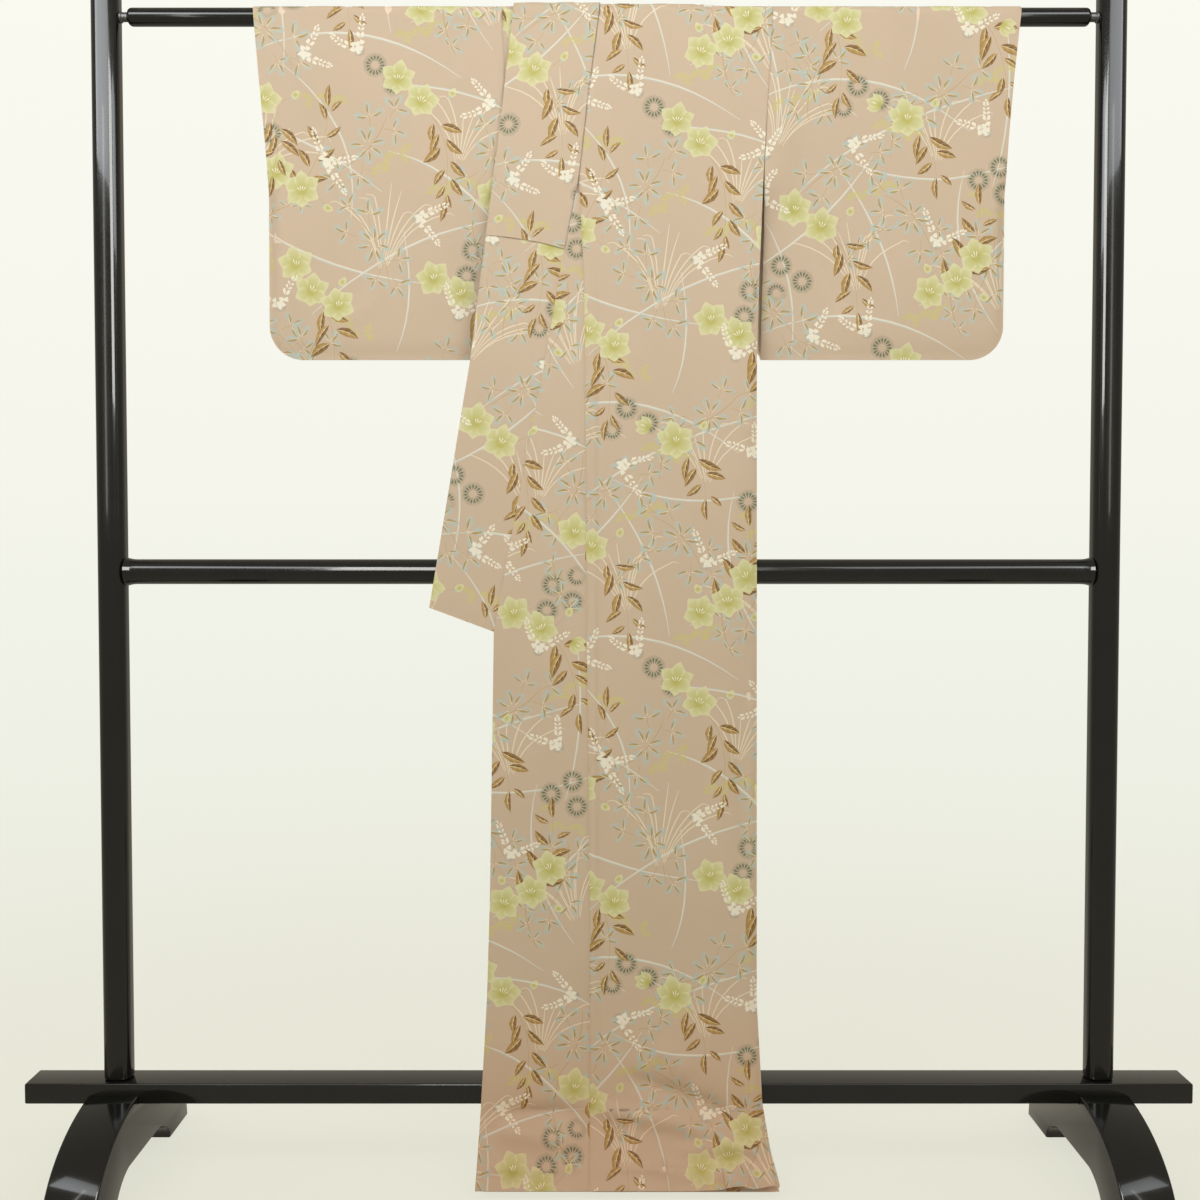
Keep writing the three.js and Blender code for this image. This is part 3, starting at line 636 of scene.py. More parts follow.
# Grasses: x, y, heading, length, blades. Fans: x, y, heading.
# Wheels: x, y and, for each wheel there, dx, dy and its kind.
GRASSES = (
    (196, 262, 84, 112, 10), (356, 596, 106, 104, 10), (36, 40, 74, 112, 11), (262, 20, 98, 96, 8),
    (20, 400, 64, 92, 9), (152, 622, 100, 96, 9), (304, 408, 80, 84, 8),
)
FANS = (
    (250, 586, 20), (112, 494, -14), (34, 262, 60), (350, 142, 30), (170, 760, 10), (332, 734, -30),
    (16, 584, 80), (296, 372, 10), (158, 186, 150), (66, 100, 10), (206, 60, -20), (214, 412, 40),
)
WHEELS = (
    (322, 292, ((0, 0, "whole"), (28, -24, "whole"), (-8, -36, "whole"), (34, 12, 130))),
    (44, 660, ((0, 0, "whole"), (30, -22, "whole"), (-6, -38, 20))),
    (150, 128, ((0, 0, "whole"), (30, -20, "whole"), (-20, -30, 200))),
    (214, 520, ((0, 0, "whole"), (-26, 26, "whole"))),
    (350, 16, ((0, 0, "whole"), (-30, -18, "whole"), (6, -36, "whole"))),
    (16, 480, ((0, 0, "whole"), (26, -28, "whole"))),
)
# Bush clover: x, y, heading, leaves, and for a twig its length before its leaves.
HAGI_CLUSTERS = (
    (226, 726, -52, 6), (336, 664, 250, 5), (34, 594, -46, 5), (176, 436, 224, 6), (352, 424, 244, 5),
    (184, 300, -64, 6), (24, 188, -34, 5), (266, 118, 204, 6), (88, 128, 70, 4), (120, 10, 20, 5),
)
HAGI_TWIGS = (
    (300, 560, 100, 92, 4), (132, 660, 40, 84, 4), (20, 330, 20, 80, 3), (352, 250, 110, 88, 4),
    (196, 30, 70, 84, 3),
)
# Sprigs: x, y and their headings.
SPRIGS = (
    (262, 690, (24, 110)), (14, 752, (-24, 60)), (166, 566, (150, 84)), (352, 492, (200, 130)),
    (118, 412, (12, -58, 110)), (52, 214, (150, 60)), (246, 336, (24, -52)), (330, 64, (160, 92)),
    (140, 50, (12, -56)), (86, 560, (-20, 60)), (302, 200, (30, 110)), (20, 30, (60, 130)),
)
# Sprays: (x, y, heading, which way it faces), flowers, leaves, drift, reach, buds.
SPRAYS = (
    ((100, 716, 4, 1), PAIR, 9, 44, 124, 1),
    ((292, 640, 180, -1), TRIO, 7, -30, -104, 2),
    ((252, 498, -8, 1), PAIR, 10, 50, 132, 1),
    ((84, 376, 176, -1), PAIR_RISING, 8, -30, -116, 2),
    ((306, 232, 8, 1), PAIR + ((40, -26, -40),), 9, 36, 126, 1),
    ((32, 500, -14, 1), LONE, 7, 36, 100, 1),
    ((96, 236, -6, 1), TRIO, 8, 40, 120, 1),
    ((218, 84, 6, 1), LONE + ((-34, 20, 150),), 6, 34, 86, 1),
    ((352, 366, 10, 1), LONE, 5, 26, 80, 1),
)


def draw_bolt():
    """One repeat, from the plainest motifs to those that lie on top."""
    sketch = Sketch(11)
    for start, bend, end, thick in ARCS:
        arc(sketch, start, bend, end, thick)
    for x, y, degrees, length, blades in GRASSES:
        grass(sketch, Pose(x, y, degrees), length, blades)
    for x, y, heading in FANS:
        fans(sketch, x, y, heading)
    for x, y, spots in WHEELS:
        wheels(sketch, x, y, spots)
    for x, y, degrees, length, leaves in HAGI_TWIGS:
        hagi_twig(sketch, Pose(x, y, degrees), length, leaves)
    for x, y, degrees, leaves in HAGI_CLUSTERS:
        hagi_cluster(sketch, Pose(x, y, degrees), leaves)
    for (x, y, degrees, flip), *spray in SPRAYS:
        flower_spray(sketch, Pose(x, y, degrees, 1, flip), *spray)
    for x, y, headings in SPRIGS:
        sprigs(sketch, x, y, headings)
    return sketch.patches


PATCHES = draw_bolt()


def patches_in(low, high, bolt, seen):
    """The patches that reach a piece, each with the shift from the bolt to the cut and its seeds."""
    across, along = bolt
    found = []
    for patch in PATCHES:
        first = math.floor((low[1] + along - patch["high"][1]) / REPEAT)
        last = math.ceil((high[1] + along - patch["low"][1]) / REPEAT)
        for turn in range(first, last + 1):
            shift = np.array((low[0] - across, turn * REPEAT - along))
            if np.any(patch["low"] + shift >= high) or np.any(patch["high"] + shift <= low):
                continue
            level = seen(*(0.5 * (patch["low"] + patch["high"]) + shift))
            if patch["grade"] <= level:
                found.append((patch, shift, patch["seeds"][:: 1 if level == CLOSE else 3]))
    return found


# ---------- how the cloth hangs ----------
def base_out(side, z):
    """How far the innermost layer lies from the stand's middle plane, at a height."""
    at_rod = np.where(side < 0, 3 * PITCH - INNER_RADIUS, 2 * PITCH + INNER_RADIUS)
    upper = lerp(at_rod, -RAIL_OUT, (ROD_Z - z) / (ROD_Z - RAIL_Z))
    middle = lerp(-RAIL_OUT, -BEAM_OUT, np.clip((RAIL_Z - z) / (RAIL_Z - BEAM["top"]), 0, 1))
    below = np.maximum(0, (BEAM["bottom"] - z) / (BEAM["bottom"] - HEM["z"]))
    lower = -BEAM_OUT - HEM["kick"] * below ** HEM["curve"]
    return np.where(z > RAIL_Z, upper, np.where(z > BEAM["bottom"], middle, lower))


def side_of(s):
    return np.where(s < 0, -1.0, 1.0)


def drop_of(s):
    """The drop below the top of the rod at a place along the cloth."""
    turn = np.clip(s / HALF_TURN, -1, 1) * math.pi / 2
    over = ROD["radius"] * (1 - np.cos(turn))
    return over + np.maximum(np.abs(s) - HALF_TURN, 0)


def s_of(side, drop):
    """Where a drop lies along the cloth, below the rod."""
    return side * (drop - ROD["radius"] + HALF_TURN)


# Where the collar and its cover end in front, along the cloth.
COLLAR_START = float(s_of(-1, COLLAR_END["seam"]))
OVER_START = float(s_of(-1, OVER_COLLAR_END["seam"]))


def near_rod(drop):
    return 1 - smooth(drop, ROD["radius"], STEP_DOWN["fades"])


# Where front and back are sewn together at the side, counted in layers.
MID_LAYER = 2.5
# Soft folds of the whole hanging cloth: from (x, drop) to (x, drop), height outward, half width.
BODY_FOLDS = (
    ((38, 330), (44, 1330), 3.0, 24), ((98, 760), (104, 1400), -3.2, 26),
    ((160, 420), (172, 1250), 3.0, 22), ((132, 300), (150, 700), -2.6, 18),
    ((-84, 700), (-98, 1300), 2.6, 11), ((-128, 880), (-134, 1480), -2.4, 18),
    ((-62, 420), (-66, 900), -2.0, 16), ((188, 900), (200, 1500), -2.2, 12),
    ((10, 900), (2, 1450), -2.0, 16), ((20, 1492), (176, 1562), -9.0, 14),
    ((-30, 1534), (196, 1600), 9.0, 15), ((-150, 1546), (-40, 1556), -6.0, 15),
    ((-160, 1584), (-36, 1590), 7.0, 16), ((60, 1462), (120, 1490), 4.0, 16),
)
# Folds of the outer front only.
FRONT_FOLDS = (
    ((-13, 300), (-11, 1640), -1.2, 4.5), ((168, 880), (207, 882), 0.9, 3),
    ((-175, 1625), (225, 1627), 1.8, 4), ((96, 1600), (222, 1604), 5.0, 10),
    ((36, 1628), (196, 1634), 4.0, 9), ((150, 1640), (204, 1646), 5.0, 10),
    ((-22, 330), (-20, 1640), 0.9, 4), ((-170, 1620), (-60, 1632), 3.0, 9),
    ((176, 60), (206, 250), 1.6, 12), ((24, 60), (-14, 200), 1.4, 14),
)
# The hem's small curls: they grow from one x to another, below a drop.
HEM_LIFT = {"from": 110, "full": 190, "top": 1600, "height": 5}
# How far the cloth hangs off its resting shape above and at the hem, and how softly it touches that.
FOLD_REST = {"upper": 1.5, "hem": 8.0, "round": 1.5}
RIGHT_SLEEVE_FOLDS = (
    ((-456, 50), (-402, 138), 2.4, 12), ((-410, 200), (-430, 470), 2.2, 20),
    ((-350, 120), (-340, 440), -2.2, 24), ((-270, 60), (-250, 460), 2.0, 26),
    ((-200, 200), (-190, 470), -2.0, 18), ((-160, 30), (-220, 130), 1.6, 12),
    ((-300, 380), (-380, 440), 1.6, 14),
)
LEFT_SLEEVE_FOLDS = (
    ((262, 262), (352, 430), -3.2, 16), ((296, 250), (384, 410), 2.4, 15),
    ((506, 40), (540, 120), 2.2, 12), ((470, 100), (486, 440), -2.0, 22),
    ((420, 150), (430, 470), 2.2, 24), ((240, 40), (262, 220), 1.8, 13),
    ((352, 60), (340, 220), -1.8, 22), ((300, 430), (400, 452), 1.4, 12),
)
# Ripples over the rod: x, height, half width.
TOP_RIPPLES = (
    (-104, 0.9, 14), (-58, 1.3, 12), (-18, 0.8, 9), (20, 1.2, 14), (74, 0.9, 12),
    (150, 0.5, 20), (320, 0.4, 22), (470, 0.5, 18), (-260, 0.4, 24), (-400, 0.5, 16),
)


def fold_sum(folds, x, drop):
    """The height of soft folds at a place: each fades out towards its ends."""
    total = np.zeros_like(x)
    for (x0, d0), (x1, d1), height, half_width in folds:
        run = np.array((x1 - x0, d1 - d0), float)
        length = np.hypot(*run)
        along = ((x - x0) * run[0] + (drop - d0) * run[1]) / length
        across = ((x - x0) * run[1] - (drop - d0) * run[0]) / length
        wander = half_width * 0.3 * np.sin(along / length * 5 + x0)
        ends = smooth(along, -0.06 * length, 0.22 * length)
        ends = ends * (1 - smooth(along, 0.78 * length, 1.06 * length))
        total += height * ends * np.exp(-((across + wander) / half_width) ** 2)
    return total


def body_relief(x, drop, outer):
    """How far the hanging cloth stands off its resting shape. Every layer shares the soft folds,
    and outer is 1 on the outer front alone, 0 elsewhere."""
    rest = FOLD_REST["upper"] * smooth(drop, 250, 600) + FOLD_REST["hem"] * smooth(drop, 1380, 1540)
    value = fold_sum(BODY_FOLDS, x, drop) + rest
    clear = 0.5 * (value + np.sqrt(value ** 2 + FOLD_REST["round"] ** 2)) - FOLD_REST["round"] / 2
    relief = np.maximum(clear, 0) * smooth(drop, 120, 420)
    return relief + outer * fold_sum(FRONT_FOLDS, x, drop) * smooth(drop, 30, 110)


def seam_roll(distance, depth=0.85, width=3.2):
    """How far an edge turns in towards its seam."""
    return depth * np.clip(1 - distance / width, 0, 1) ** 2


def pucker(distance, s, phase):
    """Fine waves of a sewn edge."""
    wave = np.sin(s / 7.3 + phase) + 0.7 * np.sin(s / 3.9 + 2 * phase)
    wave = wave + 0.5 * np.sin(s / 17 + 3 * phase)
    return 0.16 * wave * np.exp(-np.abs(distance) / 7)


def hem_lift(x, drop):
    """How far the lower edge of the outer front lifts off, in small curls towards the side seam."""
    reach = smooth(x, HEM_LIFT["from"], HEM_LIFT["full"]) * smooth(drop, HEM_LIFT["top"], HEM_DROP)
    return HEM_LIFT["height"] * reach * (1 + 0.4 * np.sin(x / 8.5))


def hang(x, layer, s, outer=False, extra=0.0):
    """A point of a layer below the rod; extra moves it outward, away from the stand."""
    side, drop = side_of(s), drop_of(s)
    z = ROD["top"] - drop
    slope = base_out(side, z - 1) - base_out(side, z)
    length = np.hypot(1, slope)
    outer_front = (side < 0) * float(outer)
    lift = hem_lift(x, drop) * outer_front
    out = (layer * PITCH + body_relief(x, drop, outer_front) + extra + 0.6 * lift) / length
    return np.column_stack((x, base_out(side, z) - out, z - out * slope + lift))


def turn_over(x, layer, s):
    """A point of a layer on the rod."""
    angle = s / HALF_TURN * math.pi / 2
    ripple = sum(height * np.exp(-((x - at) / width) ** 2) for at, height, width in TOP_RIPPLES)
    radius = INNER_RADIUS + (layer - RIGHT_FRONT) * PITCH + ripple * np.cos(angle) ** 2
    return np.column_stack((x, radius * np.sin(angle), ROD_Z + radius * np.cos(angle)))


def over_rod(x, front_layer, back_layer, s, rod_layer, outer=False, extra=0.0):
    """A cloth that hangs in front, turns over the rod and hangs again behind."""
    layer = np.where(s < 0, front_layer, back_layer)
    hung = hang(x, layer, s, outer, extra)
    turned = turn_over(x, rod_layer, s)
    return np.where((np.abs(s) > HALF_TURN)[:, None], hung, turned)


def fold_round(x, drop, table, direction, first, second):
    """A back panel turned round its fold: where it lies across, and in which layer."""
    radius = PITCH / 2
    fold = edge_at(table, drop)
    past = direction * (x - fold) * -1 + radius
    turn = np.clip(past / radius, 0, math.pi)
    flat = np.maximum(past - math.pi * radius, 0)
    before = np.maximum(-past, 0)
    place = fold + direction * (radius * (1 - np.sin(turn)) + flat + before)
    return place, lerp(first, second, (1 - np.cos(turn)) / 2)


def place_body_left(x, s):
    drop = drop_of(s)
    side = edge_at(LEFT_SIDE, drop)
    sewn = smooth(drop, SIDE_OPENING["start"], SIDE_OPENING["sewn"])
    pinch = sewn * (1 - smooth(side - x, 0, SIDE_OPENING["pinch"]))
    lowered = smooth(x, STEP_DOWN["from"], STEP_DOWN["to"]) * (LEFT_FRONT - RIGHT_FRONT)
    front = lerp(LEFT_FRONT - lowered * near_rod(drop), MID_LAYER + SEWN_GAP / PITCH, pinch)
    inner = np.where(drop < OKUMI_TOP, edge_at(LEFT_COLLAR_SEAM, drop), edge_at(LEFT_OKUMI_SEAM, drop))
    back_x, back_layer = fold_round(x, drop, OUTER_FOLD, 1, LEFT_BACK, PLEAT)
    back = lerp(back_layer + lowered * near_rod(drop), MID_LAYER - SEWN_GAP / PITCH, pinch)
    in_front = s < 0
    roll = np.where(in_front, seam_roll(x - inner, 1.4, 3.6) - pucker(x - inner, s, 1.0), 0)
    roll = roll + np.where(in_front, -1, 1) * pucker(side - x, s, 2.0) * (1 - pinch)
    at_x = np.where(s > HALF_TURN, back_x, x)
    return over_rod(at_x, front, back, s, LEFT_FRONT - lowered, True, -roll)


def place_body_right(x, s):
    drop = drop_of(s)
    side = edge_at(RIGHT_SIDE, drop)
    sewn = smooth(drop, SIDE_OPENING["start"], SIDE_OPENING["sewn"])
    pinch = sewn * (1 - smooth(x - side, 0, SIDE_OPENING["pinch"]))
    front = lerp(RIGHT_FRONT, MID_LAYER + SEWN_GAP / PITCH, pinch)
    back_x, back_layer = fold_round(x, drop, INNER_FOLD, -1, RIGHT_BACK, PLEAT)
    back = lerp(back_layer, MID_LAYER - SEWN_GAP / PITCH, pinch)
    return over_rod(np.where(s > HALF_TURN, back_x, x), front, back, s, RIGHT_FRONT)


def place_okumi_left(x, s):
    drop = drop_of(s)
    seam = edge_at(LEFT_OKUMI_SEAM, drop)
    sewn_edge, free_edge = edge_at(LEFT_COLLAR_SEAM, drop), edge_at(LEFT_FRONT_EDGE, drop)
    edge = np.where(drop < COLLAR_END["seam"], sewn_edge, free_edge)
    roll = seam_roll(seam - x, 1.4, 3.6) + seam_roll(x - edge)
    roll = roll - pucker(seam - x, s, 1.5) - pucker(x - edge, s, 3.0)
    return hang(x, LEFT_FRONT, s, True, -roll)


def place_okumi_right(x, s):
    return hang(x, RIGHT_FRONT, s)


def collar_width(s):
    """The width of the left collar, square to its run."""
    seam_drop = drop_of(s)
    edge_drop = seam_drop * COLLAR_END["edge"] / COLLAR_END["seam"]
    return edge_at(LEFT_COLLAR_SEAM, seam_drop) - edge_at(LEFT_COLLAR_EDGE, edge_drop)


# How far the collar's free edge moves outward behind the neck.
COLLAR_BACK_SLANT = 12


def left_collar_placer(layer):
    """The left collar, opened to its whole width: x is 0 at its free edge."""
    def place(x, s):
        seam_drop = drop_of(s)
        edge_drop = seam_drop * COLLAR_END["edge"] / COLLAR_END["seam"]
        width = collar_width(s)
        share = x / width
        seam_x = edge_at(LEFT_COLLAR_SEAM, seam_drop) - 0.1
        edge_x = edge_at(LEFT_COLLAR_EDGE, edge_drop)
        tuck_x = edge_at(OUTER_FOLD, 0) - 2.4
        behind = smooth(s, 0, HALF_TURN)
        at_x = lerp(edge_x, lerp(seam_x, tuck_x, behind), share)
        back_drop = np.maximum(s - HALF_TURN, 0)
        back_x = edge_at(LEFT_COLLAR_EDGE, 0) + COLLAR_BACK_SLANT * back_drop / COLLAR_BACK
        at_x = np.where(s > HALF_TURN, lerp(back_x, tuck_x, share), at_x)
        at_s = np.where(s < -HALF_TURN, s_of(-1, lerp(edge_drop, seam_drop, share)), s)
        covered = smooth(s, OVER_START - 30, OVER_START)
        roll = lerp(seam_roll(width - x), seam_roll(width - x, 0.8, 7.0), covered)
        roll = roll - pucker(width - x, s, 4.0) + 0.5 * seam_roll(x) - pucker(x, s, 5.0)
        roll = np.where(s < 0, roll, 0)
        return over_rod(at_x, layer, LEFT_FRONT - layer, at_s, layer, True, -roll)
    return place


def place_collar_right(x, s):
    """The right collar, turned inward: x is 0 at its free edge."""
    drop = drop_of(s)
    width = right_collar_width(s)
    at_x = edge_at(RIGHT_COLLAR_SEAM, drop) - width + x
    return over_rod(at_x, RIGHT_COLLAR, RIGHT_COLLAR, s, RIGHT_COLLAR)


def right_collar_width(s):
    return lerp(115, 96, drop_of(s) / COLLAR_END["seam"])


def corner_inset(drop):
    """How far the rounded lower corner of a sleeve pulls its outer edge in."""
    over = np.clip(drop - (SLEEVE["drop"] - SLEEVE["corner"]), 0, SLEEVE["corner"])
    return SLEEVE["corner"] - np.sqrt(SLEEVE["corner"] ** 2 - over ** 2)


# How far the free back edge of a sleeve is drawn outward beside the body, by its drop.
TUCK = {"depth": 9, "from": 205, "full": 240, "fades": 474, "gone": 488}


def sleeve_placer(inner_table, outer_table, folds, front_layer, back_layer):
    def place(x, s):
        side, drop = side_of(s), drop_of(s)
        inner, outer = edge_at(inner_table, drop), edge_at(outer_table, drop)
        toward = math.copysign(1, outer_table[0][1])
        outer = outer - toward * corner_inset(drop)
        to_body = np.abs(x - inner)
        beside = 1 - smooth(to_body, 0, 60)
        below = smooth(drop, TUCK["from"], TUCK["full"])
        tuck = TUCK["depth"] * below * (1 - smooth(drop, TUCK["fades"], TUCK["gone"])) * beside
        at_x = x - toward * tuck * (side > 0)
        fall = np.clip((drop - ROD["radius"]) / (SLEEVE["drop"] - ROD["radius"]), 0, 1)
        foot = smooth(drop, 462, SLEEVE["drop"] - 1)
        to_edge = np.abs(outer - x)
        edge = 1 - smooth(to_edge, 0, SLEEVE["edge"])
        sewn = edge * smooth(drop, SLEEVE["sewn"], 262)
        mirrored = np.where(side < 0, x, inner + outer - x)
        soft = fold_sum(folds, mirrored, drop) * smooth(drop, 25, 90) * (1 - foot) * (1 - sewn)
        free = lerp(INNER_RADIUS, 3, fall) + np.maximum(soft, -2.2)
        own = side * lerp(lerp(free, SEWN_GAP, foot), SEWN_GAP, sewn)
        layer = np.where(side < 0, front_layer, back_layer)
        lowered = np.abs(layer - np.where(side < 0, RIGHT_FRONT, RIGHT_BACK))
        body_layer = layer + side * lowered * near_rod(drop)
        body = hang(x, body_layer, s, bool(front_layer == LEFT_FRONT))[:, 1]
        attached = beside * (1 - smooth(drop, SLEEVE["sewn"], 300))
        y = lerp(own, body, attached) - side * (seam_roll(to_body) - pucker(to_body, s, 6.0))
        hung = np.column_stack((at_x, y, ROD["top"] - drop))
        turned = turn_over(x, np.full_like(x, RIGHT_FRONT), s)
        return np.where((np.abs(s) > HALF_TURN)[:, None], hung, turned)
    return place


# ---------- from a flat cut to a shell ----------
def normal_of(place, x, s):
    """The outward direction of a cloth, by small steps over its cut."""
    step = 0.25
    across = place(x + step, s) - place(x - step, s)
    along = place(x, s + step) - place(x, s - step)
    normal = np.cross(across, along)
    return normal / np.maximum(np.linalg.norm(normal, axis=1), 1e-9)[:, None]


def run_of(low, high, step):
    """Evenly spaced values between two, both ends included."""
    return np.linspace(low, high, max(2, int(round(abs(high - low) / step)) + 1))


def stations_between(low, high):
    """Places along a cloth, closer together on the rod and at the hem."""
    marks = [low, -HEM_DROP + HEM_ROWS, -HALF_TURN - 6, HALF_TURN + 6, HEM_DROP - HEM_ROWS, high]
    marks = sorted({mark for mark in marks if low <= mark <= high})
    places = [low]
    for a, b in zip(marks, marks[1:]):
        middle = abs(a + b) / 2
        at_hem = middle > HEM_DROP - HEM_ROWS
        step = TURN_GRID if middle < HALF_TURN else HEM_GRID if at_hem else GRID
        places += list(run_of(a, b, step)[1:])
    return np.array(places)


def inside(points, outline, margin):
    """Which points lie inside an outline, at least a margin from its line."""
    x, y = points[:, 0], points[:, 1]
    hit = np.zeros(len(points), bool)
    nearest = np.full(len(points), np.inf)
    for a, b in zip(outline, np.roll(outline, -1, axis=0)):
        crosses = (a[1] > y) != (b[1] > y)
        if abs(b[1] - a[1]) > 1e-9:
            hit ^= crosses & (x < a[0] + (y - a[1]) * (b[0] - a[0]) / (b[1] - a[1]))
        run = b - a
        t = np.clip(((points - a) @ run) / max(run @ run, 1e-9), 0, 1)
        nearest = np.minimum(nearest, np.hypot(*(points - a - t[:, None] * run).T))
    return hit & (nearest > margin)


def triangulated(faces, seeds, lines):
    """Triangles of overlapping outlines, with the outlines that each lies in."""
    points, loops, edges = [], [], []
    for face in faces:
        loops.append(list(range(len(points), len(points) + len(face))))
        points += [tuple(p) for p in face]
    points += [tuple(p) for p in seeds]
    for line in lines:
        first = len(points)
        points += [tuple(p) for p in line]
        edges += [(k, k + 1) for k in range(first, len(points) - 1)]
    made = delaunay_2d_cdt(points, edges, loops, 0, 1e-3, True)
    return np.array([tuple(v) for v in made[0]]), made[2], made[5], made[3]


def rounded_grid(outline, lines):
    """Seeds for the plain cloth: a grid, and rows close along the edge for the seams to turn on."""
    low, high = outline.min(0), outline.max(0)
    xs = run_of(low[0], high[0], GRID)
    ss = stations_between(low[1], high[1])
    grid = np.array([(x, s) for s in ss for x in xs])
    grid = grid[inside(grid, outline, 3.6)]
    along = np.roll(outline, -1, axis=0) - np.roll(outline, 1, axis=0)
    inward = np.column_stack((-along[:, 1], along[:, 0]))
    inward /= np.maximum(np.linalg.norm(inward, axis=1), 1e-9)[:, None]
    rows = np.vstack([outline + inward * gap for gap in (1.1, 2.6)])
    rows = rows[inside(rows, outline, 0.9)]
    seeds = np.vstack((grid, rows))
    for line in lines:
        gap = np.abs(seeds[:, 0] - np.interp(seeds[:, 1], line[:, 1], line[:, 0]))
        in_reach = (seeds[:, 1] > line[:, 1].min()) & (seeds[:, 1] < line[:, 1].max())
        seeds = seeds[~(in_reach & (gap < 1.2))]
    return seeds


def boundary_loop(triangles):
    """The one closed loop of edges that only one triangle has."""
    directed = {(t[k], t[(k + 1) % 3]) for t in triangles for k in range(3)}
    following = {a: b for a, b in directed if (b, a) not in directed}
    start = next(iter(sorted(following)))
    loop, at = [start], following[start]
    while at != start:
        loop.append(at)
        at = following[at]
    assert len(loop) == len(following), "a cloth's cut has one edge"
    return loop


def print_colours(patches, origins, corners):
    """The print's colour and cover at each corner of each triangle."""
    colour = np.zeros((len(origins), 3, 3))
    cover = np.zeros((len(origins), 3))
    members = {}
    for triangle, faces in enumerate(origins):
        for face in faces:
            if face:
                members.setdefault(face, []).append(triangle)
    sizes = np.abs(np.cross(corners[:, 1] - corners[:, 0], corners[:, 2] - corners[:, 0])) / 2
    for face in sorted(members):
        patch, shift, _ = patches[face - 1]
        which = np.array(members[face])
        if sizes[which].sum() > 1.2 * abs(signed_area(patch["outline"])) + 0.5:
            which = which[inside(corners[which].mean(1) - shift, patch["outline"], 0)]
            if not len(which):
                continue
        where = corners[which].reshape(-1, 2) - shift
        shade = patch["shade"](where).reshape(-1, 3, 4)
        strength = np.clip(shade[..., 3], 0, 1)
        colour[which] = colour[which] * (1 - strength)[..., None] + shade[..., :3] * strength[..., None]
        cover[which] = cover[which] * (1 - strength) + strength
    colour /= np.maximum(cover, 1e-6)[..., None]
    return np.concatenate((colour, cover[..., None]), axis=2)


def strips_for(low, high):
    """How many strips a long cut is laid in, side by side, to fill a square."""
    return max(1, round(math.sqrt((high[1] - low[1]) / (high[0] - low[0]) * 0.8)))


def unwrapped(flat, low, high, centres, back):
    """Texture places of faces: strips of the cut side by side, and the reverse small beside them."""
    count = strips_for(low, high)
    gap = 12.0
    width, length = high[0] - low[0] + gap, (high[1] - low[1]) / count
    small = 0.9 / count
    size = max(width * (count + small), length + 2 * gap)
    strip = np.clip(((centres - low[1]) / length).astype(int), 0, count - 1)[:, None]
    front_x = flat[..., 0] - low[0] + strip * width + gap / 2
    front_y = flat[..., 1] - low[1] - strip * length + gap
    back_x = (flat[..., 0] - low[0]) * small + count * width + gap / 2
    back_y = (flat[..., 1] - low[1]) * small + gap
    chosen = back[:, None]
    x, y = np.where(chosen, back_x, front_x), np.where(chosen, back_y, front_y)
    return np.stack((x, y), axis=-1) / size


def printed_sheet(outline, seeds, patches, lines):
    """The outer side of a cloth: its flat cut in triangles, with each patch of print in them."""
    faces = [outline] + [patch["outline"] + shift for patch, shift, _ in patches]
    extra = [seeds_of + shift for _, shift, seeds_of in patches if len(seeds_of)]
    extra = np.vstack(extra) if extra else np.zeros((0, 2))
    near = (extra > outline.min(0) - 2) & (extra < outline.max(0) + 2)
    extra = extra[np.all(near, axis=1)]
    flat, triangles, origins, _ = triangulated(faces, np.vstack((seeds, extra)), lines)
    kept = [k for k, faces_of in enumerate(origins) if 0 in faces_of]
    triangles, origins = [triangles[k] for k in kept], [origins[k] for k in kept]
    used = sorted({v for t in triangles for v in t})
    renumber = {old: new for new, old in enumerate(used)}
    triangles = [tuple(renumber[v] for v in t) for t in triangles]
    flat = flat[used]
    return flat, triangles, print_colours(patches, origins, flat[np.array(triangles)])


def reverse_sheet(edge, seeds, lines):
    """The reverse: the same edge, with only the plain grid inside it. twin finds its edge points."""
    flat, triangles, origins, sources = triangulated([edge], seeds, lines)
    triangles = [t for t, faces_of in zip(triangles, origins) if 0 in faces_of]
    twin = {source: v for v, sources_of in enumerate(sources)
            for source in sources_of if source < len(edge)}
    return flat, triangles, twin


def rim_between(loop, twin, count):
    """Narrow faces that close the shell from the print's edge to the reverse's."""
    rim = []
    for k in range(len(loop)):
        after = (k + 1) % len(loop)
        a, b = loop[k], loop[after]
        c, d = twin[k] + count, twin[after] + count
        rim += [(b, a, c), (b, c, d)]
    return np.array(rim)


def shell_mesh(name, points, faces, is_back):
    """A shell's mesh, and the points it uses."""
    used = np.unique(faces)
    renumber = np.full(len(points), -1)
    renumber[used] = np.arange(len(used))
    mesh = bpy.data.meshes.new(name)
    mesh.from_pydata(points[used].tolist(), [], renumber[faces].tolist())
    mesh.materials.append(SILK_PRINT)
    mesh.materials.append(SILK_REVERSE)
    mesh.polygons.foreach_set("material_index", is_back.astype(np.int32))
    mesh.polygons.foreach_set("use_smooth", np.ones(len(faces), bool))
    return mesh, used


def paint_print(mesh, colours):
    """The print's colours on the first faces and the bare ground on the rest."""
    attribute = mesh.color_attributes.new("print", "FLOAT_COLOR", "CORNER")
    values = np.zeros((len(mesh.polygons), 3, 4), np.float32)
    values[..., :3] = GROUND
    values[:len(colours)] = colours
    attribute.data.foreach_set("color", values.ravel())


